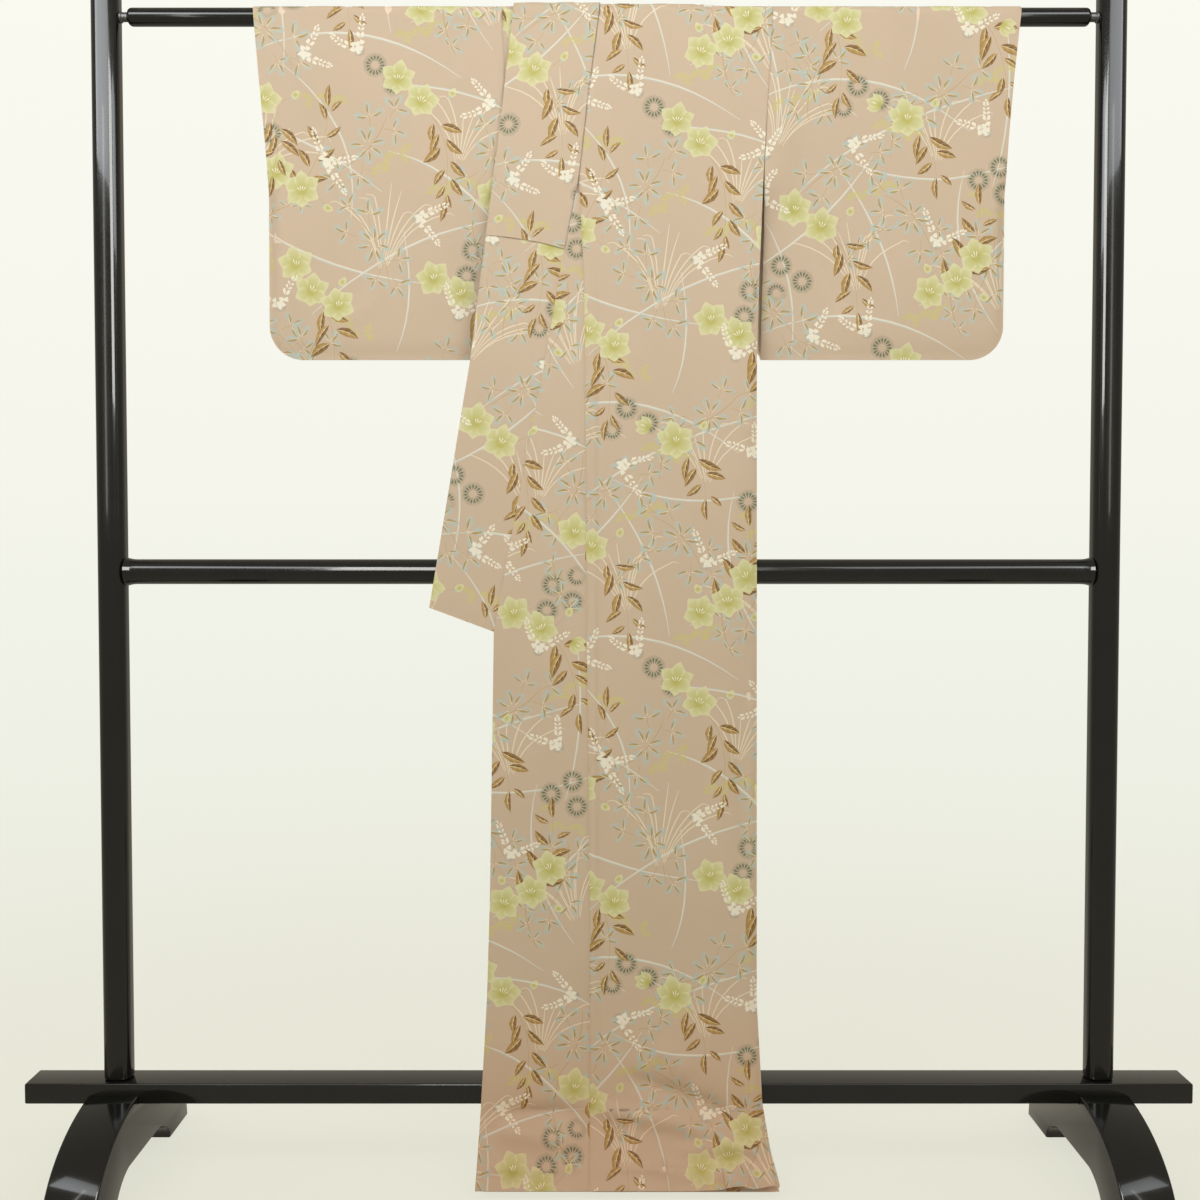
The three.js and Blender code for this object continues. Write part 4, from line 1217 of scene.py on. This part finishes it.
def make_cloth(name, outline, place, bolt, lines, seen):
    """A closed thin shell over a flat cut, printed on its outer side."""
    outline = np.array(outline, float)
    if signed_area(outline) < 0:
        outline = outline[::-1]
    low, high = outline.min(0), outline.max(0)
    seeds = rounded_grid(outline, lines)
    flat, front, colours = printed_sheet(outline, seeds, patches_in(low, high, bolt, seen), lines)
    loop = boundary_loop(front)
    edge = flat[loop]
    back_flat, back, twin = reverse_sheet(edge, seeds, lines)
    count = len(flat)
    back_faces = np.array([(a, c, b) for a, b, c in back]) + count
    faces = np.vstack((np.array(front), back_faces, rim_between(loop, twin, count)))
    rim_start = len(front) + len(back_faces)
    is_back = np.zeros(len(faces), bool)
    is_back[len(front):rim_start] = True

    all_flat = np.vstack((flat, back_flat))
    x, s = all_flat[:, 0].copy(), all_flat[:, 1].copy()
    normals = normal_of(place, x, s)
    at_hem = smooth(drop_of(s), HEM_DROP - HEM_ROWS, HEM_DROP - HEM_ROWS + HEM_GROWTH)
    thickness = SILK * (1 + HEM_GAIN * at_hem)
    outward = np.where(np.arange(len(all_flat)) < count, 1, -1)
    points = (place(x, s) + normals * (outward * 0.5 * thickness)[:, None]) * MM
    mesh, used = shell_mesh(name + "_silk", points, faces, is_back)
    paint_print(mesh, colours)

    corners = all_flat[faces]
    beyond = np.repeat(outward_of(edge), 2, axis=0)[:, None, :] * RIM_ON_MAP
    corners[rim_start:] += np.where((faces[rim_start:] >= count)[..., None], beyond, 0)
    uv = unwrapped(corners, low, high, corners[..., 1].mean(1), is_back)
    layer = mesh.uv_layers.new(name="OFBake")
    layer.data.foreach_set("uv", uv.astype(np.float32).ravel())

    mesh.validate(clean_customdata=False)
    facing = normals * outward[:, None]
    mesh.normals_split_custom_set_from_vertices(facing[used].tolist())
    piece = bpy.data.objects.new(name + "_cloth", mesh)
    bpy.context.scene.collection.objects.link(piece)
    piece["flat_area"] = abs(signed_area(outline)) * MM * MM
    piece["flat_size"] = [float(v) for v in (high - low) * MM]
    return piece


def outward_of(loop):
    run = np.roll(loop, -1, axis=0) - loop
    run /= np.maximum(np.linalg.norm(run, axis=1), 1e-9)[:, None]
    return np.column_stack((run[:, 1], -run[:, 0]))


# ---------- the cuts ----------
def edge_run(table, side, first, last, shift=0.0):
    """The points of a cut's edge between two drops, on the front or the back."""
    drops = run_of(first, last, GRID)
    return [(float(edge_at(table, drop)) + shift, float(s_of(side, drop))) for drop in drops]


def turn_run(table, backward=False):
    """The points of a cut's edge over the rod, without its two ends."""
    places = run_of(-HALF_TURN, HALF_TURN, TURN_GRID)[1:-1]
    points = [(float(edge_at(table, drop_of(s))), float(s)) for s in places]
    return points[::-1] if backward else points


def cross_run(start, end):
    """The points between two corners, both left out."""
    steps = max(1, int(round(math.dist(start, end) / GRID)))
    return [tuple(lerp(np.array(start), np.array(end), k / steps)) for k in range(1, steps)]


def closed(*runs):
    """One outline from runs of points, with straight runs between them."""
    outline = []
    for k, run in enumerate(runs):
        following = runs[(k + 1) % len(runs)]
        outline += run
        if math.dist(run[-1], following[0]) > 1.5 * GRID:
            outline += cross_run(run[-1], following[0])
    return outline


TANGENT = ROD["radius"]


def body_cut(side_table, collar_table, okumi_table, fold_table, direction):
    """A body length: its front, its shoulder and its back with half of the pleat behind."""
    front_side = edge_run(side_table, -1, HEM_DROP, TANGENT)
    back_side = edge_run(side_table, 1, TANGENT, HEM_DROP)
    folded = math.pi * PITCH / 2
    radius = PITCH / 2

    def centre(drop):
        fold = float(edge_at(fold_table, drop))
        seam = float(edge_at(CENTRE_SEAM, drop)) - direction * 0.1
        return fold + direction * radius - direction * (folded + abs(seam - fold) - radius)

    back_inner = [(centre(drop), float(s_of(1, drop))) for drop in run_of(HEM_DROP, NECK_DROP, GRID)]
    neck = float(edge_at(collar_table, 0))
    shoulder = [(neck, float(s_of(1, NECK_DROP))), (neck, float(s_of(1, 0.5 * (NECK_DROP + TANGENT))))]
    shoulder += [(neck, HALF_TURN)] + turn_run(((0, neck), (1, neck)), True) + [(neck, -HALF_TURN)]
    inner_front = edge_run(collar_table, -1, TANGENT + 6, OKUMI_TOP - 4)
    inner_front += edge_run(okumi_table, -1, OKUMI_TOP, HEM_DROP)
    return closed(front_side, turn_run(side_table), back_side, back_inner, shoulder, inner_front)


def fold_lines(fold_table, direction):
    """Lines along a pleat's fold, for the cloth to turn on."""
    radius = PITCH / 2
    drops = run_of(NECK_DROP + 4, HEM_DROP - 4, GRID)
    lines = []
    for share in (0, 0.25, 0.5, 0.75, 1):
        shift = direction * radius - direction * share * math.pi * radius
        line = [(float(edge_at(fold_table, d)) + shift, float(s_of(1, d))) for d in drops]
        lines.append(np.array(line))
    return lines


def ridge_lines():
    """Lines down the front beside the okumi seam, for the ridge of its seam allowance."""
    drops = run_of(310, HEM_DROP - 6, GRID)
    s = s_of(-1, drops)
    slant = 2 * (drops - 300) / 1340
    return [np.column_stack((x + slant, s)) for x in (-23.5, -21, -18, -15.5, -13, -10.5, -7.5)]


def okumi_cut(collar_seam, okumi_seam, front_edge, gap):
    top = OKUMI_TOP + 21
    outer = edge_run(front_edge, -1, HEM_DROP, COLLAR_END["seam"])
    outer += edge_run(collar_seam, -1, COLLAR_END["seam"] - 5, top)
    inner = edge_run(okumi_seam, -1, top, HEM_DROP, gap)
    return closed(outer, inner)


def strip_cut(width_at, first_s, last_s, rise=0.0):
    """A straight strip whose width changes along it. Its first end may rise towards the free edge."""
    places = stations_between(first_s, last_s)
    near = [(0.0, float(s)) for s in places if s > first_s + rise]
    far = [(float(width_at(s)), float(s)) for s in places[::-1]]
    if not rise:
        return closed(near, far)
    width = float(width_at(first_s))
    end = [(width * share, first_s + rise * (1 - share ** 2.2)) for share in (0.8, 0.6, 0.4, 0.2, 0.0)]
    return closed(near, far, end)


def sleeve_cut(inner_table, outer_table):
    """A sleeve's whole length: front, over the rod, and back, with rounded lower corners."""
    toward = math.copysign(1, outer_table[0][1])
    corner_top = SLEEVE["drop"] - SLEEVE["corner"]

    def corner(side):
        points = []
        for degrees in np.linspace(0, 84, 9):
            drop = corner_top + SLEEVE["corner"] * math.sin(math.radians(degrees))
            x = edge_at(outer_table, drop) - toward * corner_inset(drop)
            points.append((float(x), float(s_of(side, drop))))
        return points

    def foot_end(side):
        x = float(edge_at(outer_table, SLEEVE["drop"])) - toward * SLEEVE["corner"]
        return [(x, float(s_of(side, SLEEVE["drop"])))]

    outer_front = foot_end(-1) + corner(-1)[::-1] + edge_run(outer_table, -1, corner_top - 8, TANGENT)
    outer_back = edge_run(outer_table, 1, TANGENT, corner_top - 8) + corner(1) + foot_end(1)
    inner_back = edge_run(inner_table, 1, SLEEVE["drop"], TANGENT)
    inner_front = edge_run(inner_table, -1, TANGENT, SLEEVE["drop"])
    return closed(outer_front, turn_run(outer_table), outer_back, inner_back,
                  turn_run(inner_table, True), inner_front)


# ---------- materials ----------
def fill(tree, node, values):
    """Each input of a node is linked from a socket or set to a value."""
    for key, value in values.items():
        if isinstance(value, bpy.types.NodeSocket):
            tree.links.new(value, node.inputs[key])
        else:
            node.inputs[key].default_value = value


def add_node(tree, kind, values, **settings):
    """A node with its settings and its inputs filled."""
    node = tree.nodes.new(kind)
    for key, value in settings.items():
        setattr(node, key, value)
    fill(tree, node, values)
    return node


def new_material(name):
    """A material, its tree and the position on the object that its textures start from."""
    material = bpy.data.materials.new(name)
    material.use_nodes = True
    tree = material.node_tree
    place = add_node(tree, "ShaderNodeTexCoord", {})
    return material, tree, place.outputs["Object"]


def remapped(tree, value, low, high, **more):
    """A value from 0 to 1 carried to low to high."""
    values = {"Value": value, "To Min": low, "To Max": high}
    values.update(more)
    return add_node(tree, "ShaderNodeMapRange", values).outputs["Result"]


def tones(tree, value, stops):
    """A colour for a value, from stops of a position and a linear colour."""
    node = add_node(tree, "ShaderNodeValToRGB", {"Fac": value})
    elements = node.color_ramp.elements
    elements[0].color = (*stops[0][1], 1)
    elements[1].color = (*stops[-1][1], 1)
    for position, colour in stops[1:-1]:
        elements.new(position).color = (*colour, 1)
    return node.outputs["Color"]


def bumped(tree, height, strength, distance):
    values = {"Height": height, "Strength": strength, "Distance": distance}
    return add_node(tree, "ShaderNodeBump", values).outputs["Normal"]


def noise(tree, place, scale, detail):
    values = {"Vector": place, "Scale": scale, "Detail": detail}
    return add_node(tree, "ShaderNodeTexNoise", values).outputs["Fac"]


def crepe_height(tree, place):
    """Height of a crepe weave: fine diagonal ribs, broken by a finer grain."""
    values = {"Vector": place, "Rotation": (0, math.radians(38), 0), "Scale": (1, 0.3, 1)}
    turned = add_node(tree, "ShaderNodeMapping", values)
    values = {"Vector": turned.outputs["Vector"], "Scale": 330, "Distortion": 2.4,
              "Detail": 2, "Detail Scale": 1.6}
    ribs = add_node(tree, "ShaderNodeTexWave", values, wave_type="BANDS", bands_direction="X")
    values = {0: noise(tree, place, 1500, 3), 1: 0.7, 2: ribs.outputs["Fac"]}
    return add_node(tree, "ShaderNodeMath", values, operation="MULTIPLY_ADD").outputs["Value"]


# The lowest cloth is darker and pinker: the tint is full below one height and gone above the other, in
# metres.
HEM_TINT = {"full": 0.03, "gone": 0.34, "colour": (0.97, 0.84, 0.78)}


def cloth_finish(tree, place, colour):
    """Sheen, a mottled depth of dye, painted shade in the crepe's hollows and the crepe's bump over a
    colour.
    """
    height = crepe_height(tree, place)
    depth = remapped(tree, noise(tree, place, 5, 3), 0.95, 1.05)
    # Painted shade: the colour is darker in the crepe's hollows and lighter on its ribs.
    hollow_shade = remapped(tree, height, 0.94, 1.05, **{"From Max": 1.7})
    both = add_node(tree, "ShaderNodeMath", {0: depth, 1: hollow_shade}, operation="MULTIPLY")
    values = {"Vector": colour, "Scale": both.outputs["Value"]}
    dyed = add_node(tree, "ShaderNodeVectorMath", values, operation="SCALE")
    parts = add_node(tree, "ShaderNodeSeparateXYZ", {"Vector": place})
    # Inputs 6 to 10: vector, from min, from max, to min, to max.
    values = {6: parts.outputs["Z"], 7: (HEM_TINT["full"],) * 3, 8: (HEM_TINT["gone"],) * 3,
              9: HEM_TINT["colour"], 10: (1, 1, 1)}
    tint = add_node(tree, "ShaderNodeMapRange", values,
                    data_type="FLOAT_VECTOR", interpolation_type="SMOOTHSTEP")
    values = {0: dyed.outputs["Vector"], 1: tint.outputs["Vector"]}
    shaded = add_node(tree, "ShaderNodeVectorMath", values, operation="MULTIPLY")
    fill(tree, tree.nodes["Principled BSDF"], {
        "Base Color": shaded.outputs["Vector"], "Roughness": 0.66, "Specular IOR Level": 0.3,
        "Sheen Weight": 0.07, "Sheen Roughness": 0.4, "Normal": bumped(tree, height, 0.35, 0.00025),
    })


def silk_print_material():
    material, tree, place = new_material("silk_print")
    patches = add_node(tree, "ShaderNodeAttribute", {}, attribute_name="print")
    # Inputs 6 and 7 of a colour mix are its two colours.
    values = {"Factor": patches.outputs["Alpha"], 6: (*GROUND, 1), 7: patches.outputs["Color"]}
    mixed = add_node(tree, "ShaderNodeMix", values, data_type="RGBA")
    cloth_finish(tree, place, mixed.outputs[2])
    return material


def silk_reverse_material():
    material, tree, place = new_material("silk_reverse")
    pale = add_node(tree, "ShaderNodeRGB", {}).outputs[0]
    pale.default_value = (*linear(220, 200, 180), 1)
    cloth_finish(tree, place, pale)
    return material


def lacquer_material():
    """Gloss black lacquer: a deep coat over black, with faint dust and polish marks."""
    material, tree, place = new_material("black_lacquer")
    marks = noise(tree, place, 26, 6)
    blacks = ((0, (0.0040, 0.0042, 0.0040)), (1, (0.0085, 0.0088, 0.0078)))
    fill(tree, tree.nodes["Principled BSDF"], {
        "Base Color": tones(tree, marks, blacks), "Roughness": remapped(tree, marks, 0.10, 0.18),
        "Specular IOR Level": 0.28, "Coat Weight": 0.5, "Coat Roughness": 0.05,
        "Normal": bumped(tree, noise(tree, place, 90, 2), 0.06, 0.0006),
    })
    return material


def steel_material():
    """Dark drawn steel, with fine lines along x."""
    material, tree, place = new_material("dark_steel")
    stretched = add_node(tree, "ShaderNodeMapping", {"Vector": place, "Scale": (40, 900, 900)})
    lines = noise(tree, stretched.outputs["Vector"], 1, 2)
    greys = ((0, (0.10, 0.10, 0.10)), (1, (0.20, 0.20, 0.19)))
    fill(tree, tree.nodes["Principled BSDF"], {
        "Base Color": tones(tree, lines, greys), "Roughness": remapped(tree, lines, 0.3, 0.5),
        "Metallic": 0.9,
    })
    return material


SILK_PRINT = silk_print_material()
SILK_REVERSE = silk_reverse_material()
LACQUER = lacquer_material()
STEEL = steel_material()


# ---------- the stand ----------
SHARP = math.radians(40)


def add_piece(name, points, faces, material):
    mesh = bpy.data.meshes.new(name)
    mesh.from_pydata([tuple(c * MM for c in p) for p in points], [], faces)
    mesh.materials.append(material)
    mesh.polygons.foreach_set("use_smooth", [True] * len(mesh.polygons))
    mesh.set_sharp_from_angle(angle=SHARP)
    piece = bpy.data.objects.new(name, mesh)
    bpy.context.scene.collection.objects.link(piece)
    return piece


def bridged(rings):
    """Faces of a run of closed rings of equal count, with its ends capped."""
    count = len(rings[0])
    points = [p for ring in rings for p in ring]
    faces = []
    for r in range(len(rings) - 1):
        for k in range(count):
            a, b = r * count + k, r * count + (k + 1) % count
            faces.append((a, b, b + count, a + count))
    faces.append(tuple(reversed(range(count))))
    faces.append(tuple(range(len(points) - count, len(points))))
    return points, faces


def turned_bar(name, profile, centre_z, material, segments=72):
    """A bar turned about the X axis from (x, radius) pairs."""
    angles = [2 * math.pi * k / segments for k in range(segments)]
    rings = [[(x, radius * math.cos(a), centre_z + radius * math.sin(a)) for a in angles]
             for x, radius in profile]
    points, faces = bridged(rings)
    return add_piece(name, points, faces, material)


def rounded_end(at, radius, chamfer, direction):
    """The profile of a rounded bar end, from its face to its side."""
    steps = 5
    profile = []
    for k in range(steps + 1):
        turn = math.pi / 2 * k / steps
        profile.append((at - direction * chamfer * (1 - math.sin(math.pi / 2 - turn)),
                        radius - chamfer * (1 - math.sin(turn))))
    return profile


def rounded_rectangle(width, height, corner, steps=10):
    points = []
    for quarter, (sx, sy) in enumerate(((1, 1), (-1, 1), (-1, -1), (1, -1))):
        for k in range(steps + 1):
            turn = math.pi / 2 * (quarter + k / steps)
            points.append((sx * (width / 2 - corner) + corner * math.cos(turn),
                           sy * (height / 2 - corner) + corner * math.sin(turn)))
    return np.array(points)


def extruded(name, outline, low, high, edge, to_world, material):
    """A prism with rounded rims, from an outline that runs anticlockwise."""
    steps = 4
    outline = np.array(outline, float)
    before, after = np.roll(outline, 1, axis=0), np.roll(outline, -1, axis=0)

    def unit(v):
        return v / np.maximum(np.linalg.norm(v, axis=1), 1e-9)[:, None]

    first, second = unit(outline - before), unit(after - outline)
    normals = unit(np.column_stack((first[:, 1] + second[:, 1], -(first[:, 0] + second[:, 0]))))
    rings = []
    turns = [math.pi / 2 * k / steps for k in range(steps + 1)]
    for turn in turns:
        inset = edge * (1 - math.sin(turn))
        rings.append((outline - normals * inset, low + edge * (1 - math.cos(turn))))
    for turn in reversed(turns):
        inset = edge * (1 - math.sin(turn))
        rings.append((outline - normals * inset, high - edge * (1 - math.cos(turn))))
    placed = [[to_world(u, v, at) for u, v in ring] for ring, at in rings]
    points, faces = bridged(placed)
    return add_piece(name, points, faces, material)


def foot_outline():
    """A foot from its side: half an ellipse over a flat arch, notched for the beam."""
    half, top = FOOT["half_length"], FOOT["top"]
    notch_half = BEAM["depth"] / 2 + JOINT_GAP
    notch_floor = BEAM["bottom"] - JOINT_GAP
    shoulder = math.acos(notch_half / half)
    steps = 48
    turns = [shoulder * k / steps for k in range(steps + 1)]
    rise = [(half * math.cos(turn), top * math.sin(turn)) for turn in turns]
    arch_power = 1.6
    arch = []
    for k in range(15):
        along = 1 - k / 14
        arch.append((FOOT["arch_flat"] + (FOOT["arch_half"] - FOOT["arch_flat"]) * along,
                     FOOT["arch_height"] * (1 - along ** arch_power) ** (1 / arch_power)))
    left = [(-y, z) for y, z in rise]
    outline = rise + [(notch_half, notch_floor), (-notch_half, notch_floor)] + left[::-1]
    return outline + [(-y, z) for y, z in arch] + arch[::-1]


def make_stand():
    pieces = {}
    for side, word in ((1, "left"), (-1, "right")):
        centre = side * POST["x"]
        pieces[f"post_{word}"] = extruded(
            f"lacquered_post_{word}", rounded_rectangle(POST["width"], POST["depth"], POST["corner"]),
            BEAM["top"] + JOINT_GAP, POST["top"], POST["edge"],
            lambda u, v, w, c=centre: (c + u, v, w), LACQUER)
        pieces[f"foot_{word}"] = extruded(
            f"lacquered_foot_{word}", foot_outline(),
            -FOOT["width"] / 2, FOOT["width"] / 2, FOOT["edge"],
            lambda u, v, w, c=centre: (c + w, u, v), LACQUER)
        near = ROD["half_length"] + JOINT_GAP
        far = POST["x"] - POST["width"] / 2 - JOINT_GAP
        collar = far - PIN["collar_length"]
        profile = [(near, PIN["radius"] - 0.6), (near + 0.6, PIN["radius"]),
                   (collar, PIN["radius"]), (collar + 1, PIN["collar"] - 0.4),
                   (collar + 1.4, PIN["collar"]), (far, PIN["collar"])]
        profile = [(side * x, radius) for x, radius in profile]
        pieces[f"rod_pin_{word}"] = turned_bar(
            f"steel_pin_{word}", profile if side > 0 else profile[::-1], ROD_Z, STEEL, 48)
    half, radius, chamfer = ROD["half_length"], ROD["radius"], ROD["chamfer"]
    start = rounded_end(-half, radius, chamfer, -1)
    end = rounded_end(half, radius, chamfer, 1)
    pieces["rod"] = turned_bar("lacquered_rod", start + end[::-1], ROD_Z, LACQUER)
    far = POST["x"] - POST["width"] / 2 - JOINT_GAP
    flare = [(far - RAIL["flare_length"] * t, lerp(RAIL["flare"], RAIL["radius"], 1 - (1 - t) ** 2.2))
             for t in (0, 0.1, 0.2, 0.35, 0.5, 0.7, 1)]
    pieces["middle_rail"] = turned_bar(
        "lacquered_rail", [(-x, r) for x, r in flare] + flare[::-1], RAIL_Z, LACQUER)
    height = BEAM["top"] - BEAM["bottom"]
    middle = (BEAM["top"] + BEAM["bottom"]) / 2
    pieces["base_beam"] = extruded(
        "lacquered_beam", rounded_rectangle(BEAM["depth"], height, 2.5, 5),
        -BEAM["half_length"], BEAM["half_length"], BEAM["edge"],
        lambda u, v, w: (w, u, middle + v), LACQUER)
    return pieces


for node, piece in make_stand().items():
    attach(piece, "root")
    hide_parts(node)


# ---------- the kimono ----------
def front_close(x, s):
    return CLOSE if s < HALF_TURN else SHOWN


def left_body_seen(x, s):
    """The pleat's inner half isn't seen."""
    fold = edge_at(OUTER_FOLD, 300)
    return CLOSE if s < HALF_TURN else SHOWN if x > fold - 8 else HIDDEN


def right_body_seen(x, s):
    """Its front lies inside, and the left back covers the rest of its back."""
    fold = edge_at(OUTER_FOLD, 300)
    return SHOWN if s > -HALF_TURN and x < fold + 20 else HIDDEN


def left_collar_seen(x, s):
    return CLOSE if s < OVER_START + 20 else HIDDEN


def inside_only(x, s):
    return HIDDEN


def hang_cloth(node, outline, place, bolt, lines=(), seen=front_close):
    piece = make_cloth(node, outline, place, bolt, lines, seen)
    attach(piece, "root")
    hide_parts(node)
    return piece


body_left = hang_cloth(
    "body_left", body_cut(LEFT_SIDE, LEFT_COLLAR_SEAM, LEFT_OKUMI_SEAM, OUTER_FOLD, 1),
    place_body_left, (24, 700), fold_lines(OUTER_FOLD, 1) + ridge_lines(),
    left_body_seen)
body_right = hang_cloth(
    "body_right", body_cut(RIGHT_SIDE, RIGHT_COLLAR_SEAM, RIGHT_OKUMI_SEAM, INNER_FOLD, -1),
    place_body_right, (30, 430), fold_lines(INNER_FOLD, -1), right_body_seen)
hang_cloth(
    "okumi_left", okumi_cut(LEFT_COLLAR_SEAM, LEFT_OKUMI_SEAM, LEFT_FRONT_EDGE, -0.1),
    place_okumi_left, (216, 330))
hang_cloth(
    "okumi_right", okumi_cut(RIGHT_COLLAR_SEAM, RIGHT_OKUMI_SEAM, RIGHT_FRONT_EDGE, 0.1),
    place_okumi_right, (20, 260), seen=inside_only)
collar_left = hang_cloth(
    "collar_left", strip_cut(collar_width, COLLAR_START, HALF_TURN + COLLAR_BACK),
    left_collar_placer(LEFT_FRONT), (40, 560), seen=left_collar_seen)
hang_cloth(
    "over_collar",
    strip_cut(collar_width, OVER_START, HALF_TURN + COLLAR_BACK, OVER_COLLAR_END["rise"]),
    left_collar_placer(OVER_COLLAR), (62, 40))
hang_cloth(
    "collar_right", strip_cut(right_collar_width, COLLAR_START, HALF_TURN - 4),
    place_collar_right, (200, 60), seen=inside_only)
hang_cloth(
    "sleeve_left", sleeve_cut(LEFT_SLEEVE_INNER, LEFT_SLEEVE_OUTER),
    sleeve_placer(LEFT_SLEEVE_INNER, LEFT_SLEEVE_OUTER, LEFT_SLEEVE_FOLDS, LEFT_FRONT, LEFT_BACK),
    (16, 250))
hang_cloth(
    "sleeve_right", sleeve_cut(RIGHT_SLEEVE_INNER, RIGHT_SLEEVE_OUTER),
    sleeve_placer(RIGHT_SLEEVE_INNER, RIGHT_SLEEVE_OUTER, RIGHT_SLEEVE_FOLDS, RIGHT_FRONT, RIGHT_BACK),
    (18, 640))


# ---------- studio ----------
CAMERA = {"x": -0.0125, "y": -1.9183, "z": 0.8925, "focal_px": 1350, "frame_px": 1200, "pitch_px": 47}
# The paper from straight down (0) to straight up (1), as display colours.
PAPER = (
    (0.0, 120, 118, 106), (0.24, 230, 230, 214), (0.34, 233, 233, 220), (0.45, 240, 241, 230),
    (0.53, 245, 245, 235), (0.69, 250, 250, 241), (0.76, 244, 244, 236), (0.9, 226, 226, 216),
    (1.0, 220, 220, 210),
)
# How strongly the room lights things, and how strongly gloss mirrors it.
ROOM_LIGHT = 0.65
MIRRORED_ROOM = 0.38
KEY_TINT = (0.97, 1, 1.04)


def make_camera():
    data = bpy.data.cameras.new("camera")
    data.sensor_width = 36
    data.lens = data.sensor_width * CAMERA["focal_px"] / CAMERA["frame_px"]
    camera = bpy.data.objects.new("camera", data)
    camera.location = (CAMERA["x"], CAMERA["y"], CAMERA["z"])
    pitch = math.atan(CAMERA["pitch_px"] / CAMERA["focal_px"])
    camera.rotation_euler = (math.pi / 2 - pitch, 0, 0)
    bpy.context.scene.collection.objects.link(camera)
    bpy.context.scene.camera = camera


def make_world():
    """Pale paper all round. It shows brighter than it lights the room, and gloss mirrors it dimly."""
    world = bpy.data.worlds.new("studio")
    world.use_nodes = True
    tree = world.node_tree
    place = add_node(tree, "ShaderNodeTexCoord", {})
    parts = add_node(tree, "ShaderNodeSeparateXYZ", {"Vector": place.outputs["Generated"]})
    height = remapped(tree, parts.outputs["Z"], 0, 1, **{"From Min": -1})
    paper = tones(tree, height, [(position, linear(*colour)) for position, *colour in PAPER])
    shown = tree.nodes["Background"]
    fill(tree, shown, {"Color": paper, "Strength": 1.0})
    ray = add_node(tree, "ShaderNodeLightPath", {})
    values = {0: ray.outputs["Is Glossy Ray"], 1: MIRRORED_ROOM - ROOM_LIGHT, 2: ROOM_LIGHT}
    dimmed = add_node(tree, "ShaderNodeMath", values, operation="MULTIPLY_ADD")
    values = {"Color": (1.0, 0.93, 0.76, 1), "Strength": dimmed.outputs["Value"]}
    room = add_node(tree, "ShaderNodeBackground", values)
    values = {0: ray.outputs["Is Camera Ray"], 1: room.outputs["Background"],
              2: shown.outputs["Background"]}
    either = add_node(tree, "ShaderNodeMixShader", values)
    fill(tree, tree.nodes["World Output"], {"Surface": either.outputs["Shader"]})
    bpy.context.scene.world = world


def add_light(name, place, aim, size, power, colour=(1, 1, 0.96), spread=180, lights_cloth=True):
    data = bpy.data.lights.new(name, "AREA")
    data.spread = math.radians(spread)
    data.shape = "RECTANGLE"
    data.size, data.size_y = size
    data.energy = power
    data.color = colour
    light = bpy.data.objects.new(name, data)
    light.location = place
    direction = np.array(aim, float) - np.array(place, float)
    light.rotation_euler = Vector(direction).to_track_quat("-Z", "Y").to_euler()
    light.visible_diffuse = lights_cloth
    bpy.context.scene.collection.objects.link(light)


def make_floor():
    """A pale floor that fades into the paper far from the stand."""
    rings, segments, reach = 12, 64, 3.2
    turns = [2 * math.pi * k / segments for k in range(segments)]
    points = [(0.0, 0.0, 0.0)]
    for r in range(1, rings + 1):
        radius = reach * r / rings
        points += [(radius * math.cos(turn), radius * math.sin(turn), 0.0) for turn in turns]
    pairs = [(k, (k + 1) % segments) for k in range(segments)]
    faces = [(0, 1 + k, 1 + after) for k, after in pairs]
    for r in range(rings - 1):
        first = 1 + r * segments
        second = first + segments
        faces += [(first + k, second + k, second + after, first + after) for k, after in pairs]
    mesh = bpy.data.meshes.new("floor")
    mesh.from_pydata(points, [], faces)
    material, tree, place = new_material("floor_paper")
    away = add_node(tree, "ShaderNodeVectorMath", {0: place}, operation="LENGTH").outputs["Value"]
    values = {"Value": away, "From Min": 0.5, "From Max": 3.0, "To Min": 0.16, "To Max": 0}
    fade = add_node(tree, "ShaderNodeMapRange", values, interpolation_type="SMOOTHSTEP")
    fill(tree, tree.nodes["Principled BSDF"], {
        "Base Color": (*linear(250, 249, 238), 1), "Roughness": 0.8, "Specular IOR Level": 0.1,
        "Alpha": fade.outputs["Result"],
    })
    mesh.materials.append(material)
    floor = bpy.data.objects.new("floor", mesh)
    bpy.context.scene.collection.objects.link(floor)


make_camera()
make_world()
make_floor()
add_light("key_left", (-1.4, -1.7, 2.5), (0, 0, 1.5), (1.8, 0.7), 8.8, KEY_TINT, 95)
add_light("key_right", (1.4, -1.7, 2.5), (0, 0, 1.5), (1.8, 0.7), 6.4, KEY_TINT, 95)
add_light("window", (-0.2, -2.35, 2.1), (-0.2, 0, 1.4), (1.3, 1.3), 70, lights_cloth=False)
add_light("strip_left", (-1.43, -1.9, 1.7), (-0.7, 0, 1.3), (0.06, 1.4), 1.2)
add_light("strip_right", (1.40, -1.9, 1.7), (0.7, 0, 1.3), (0.06, 1.4), 1.0)
bpy.context.scene.view_settings.view_transform = "Standard"
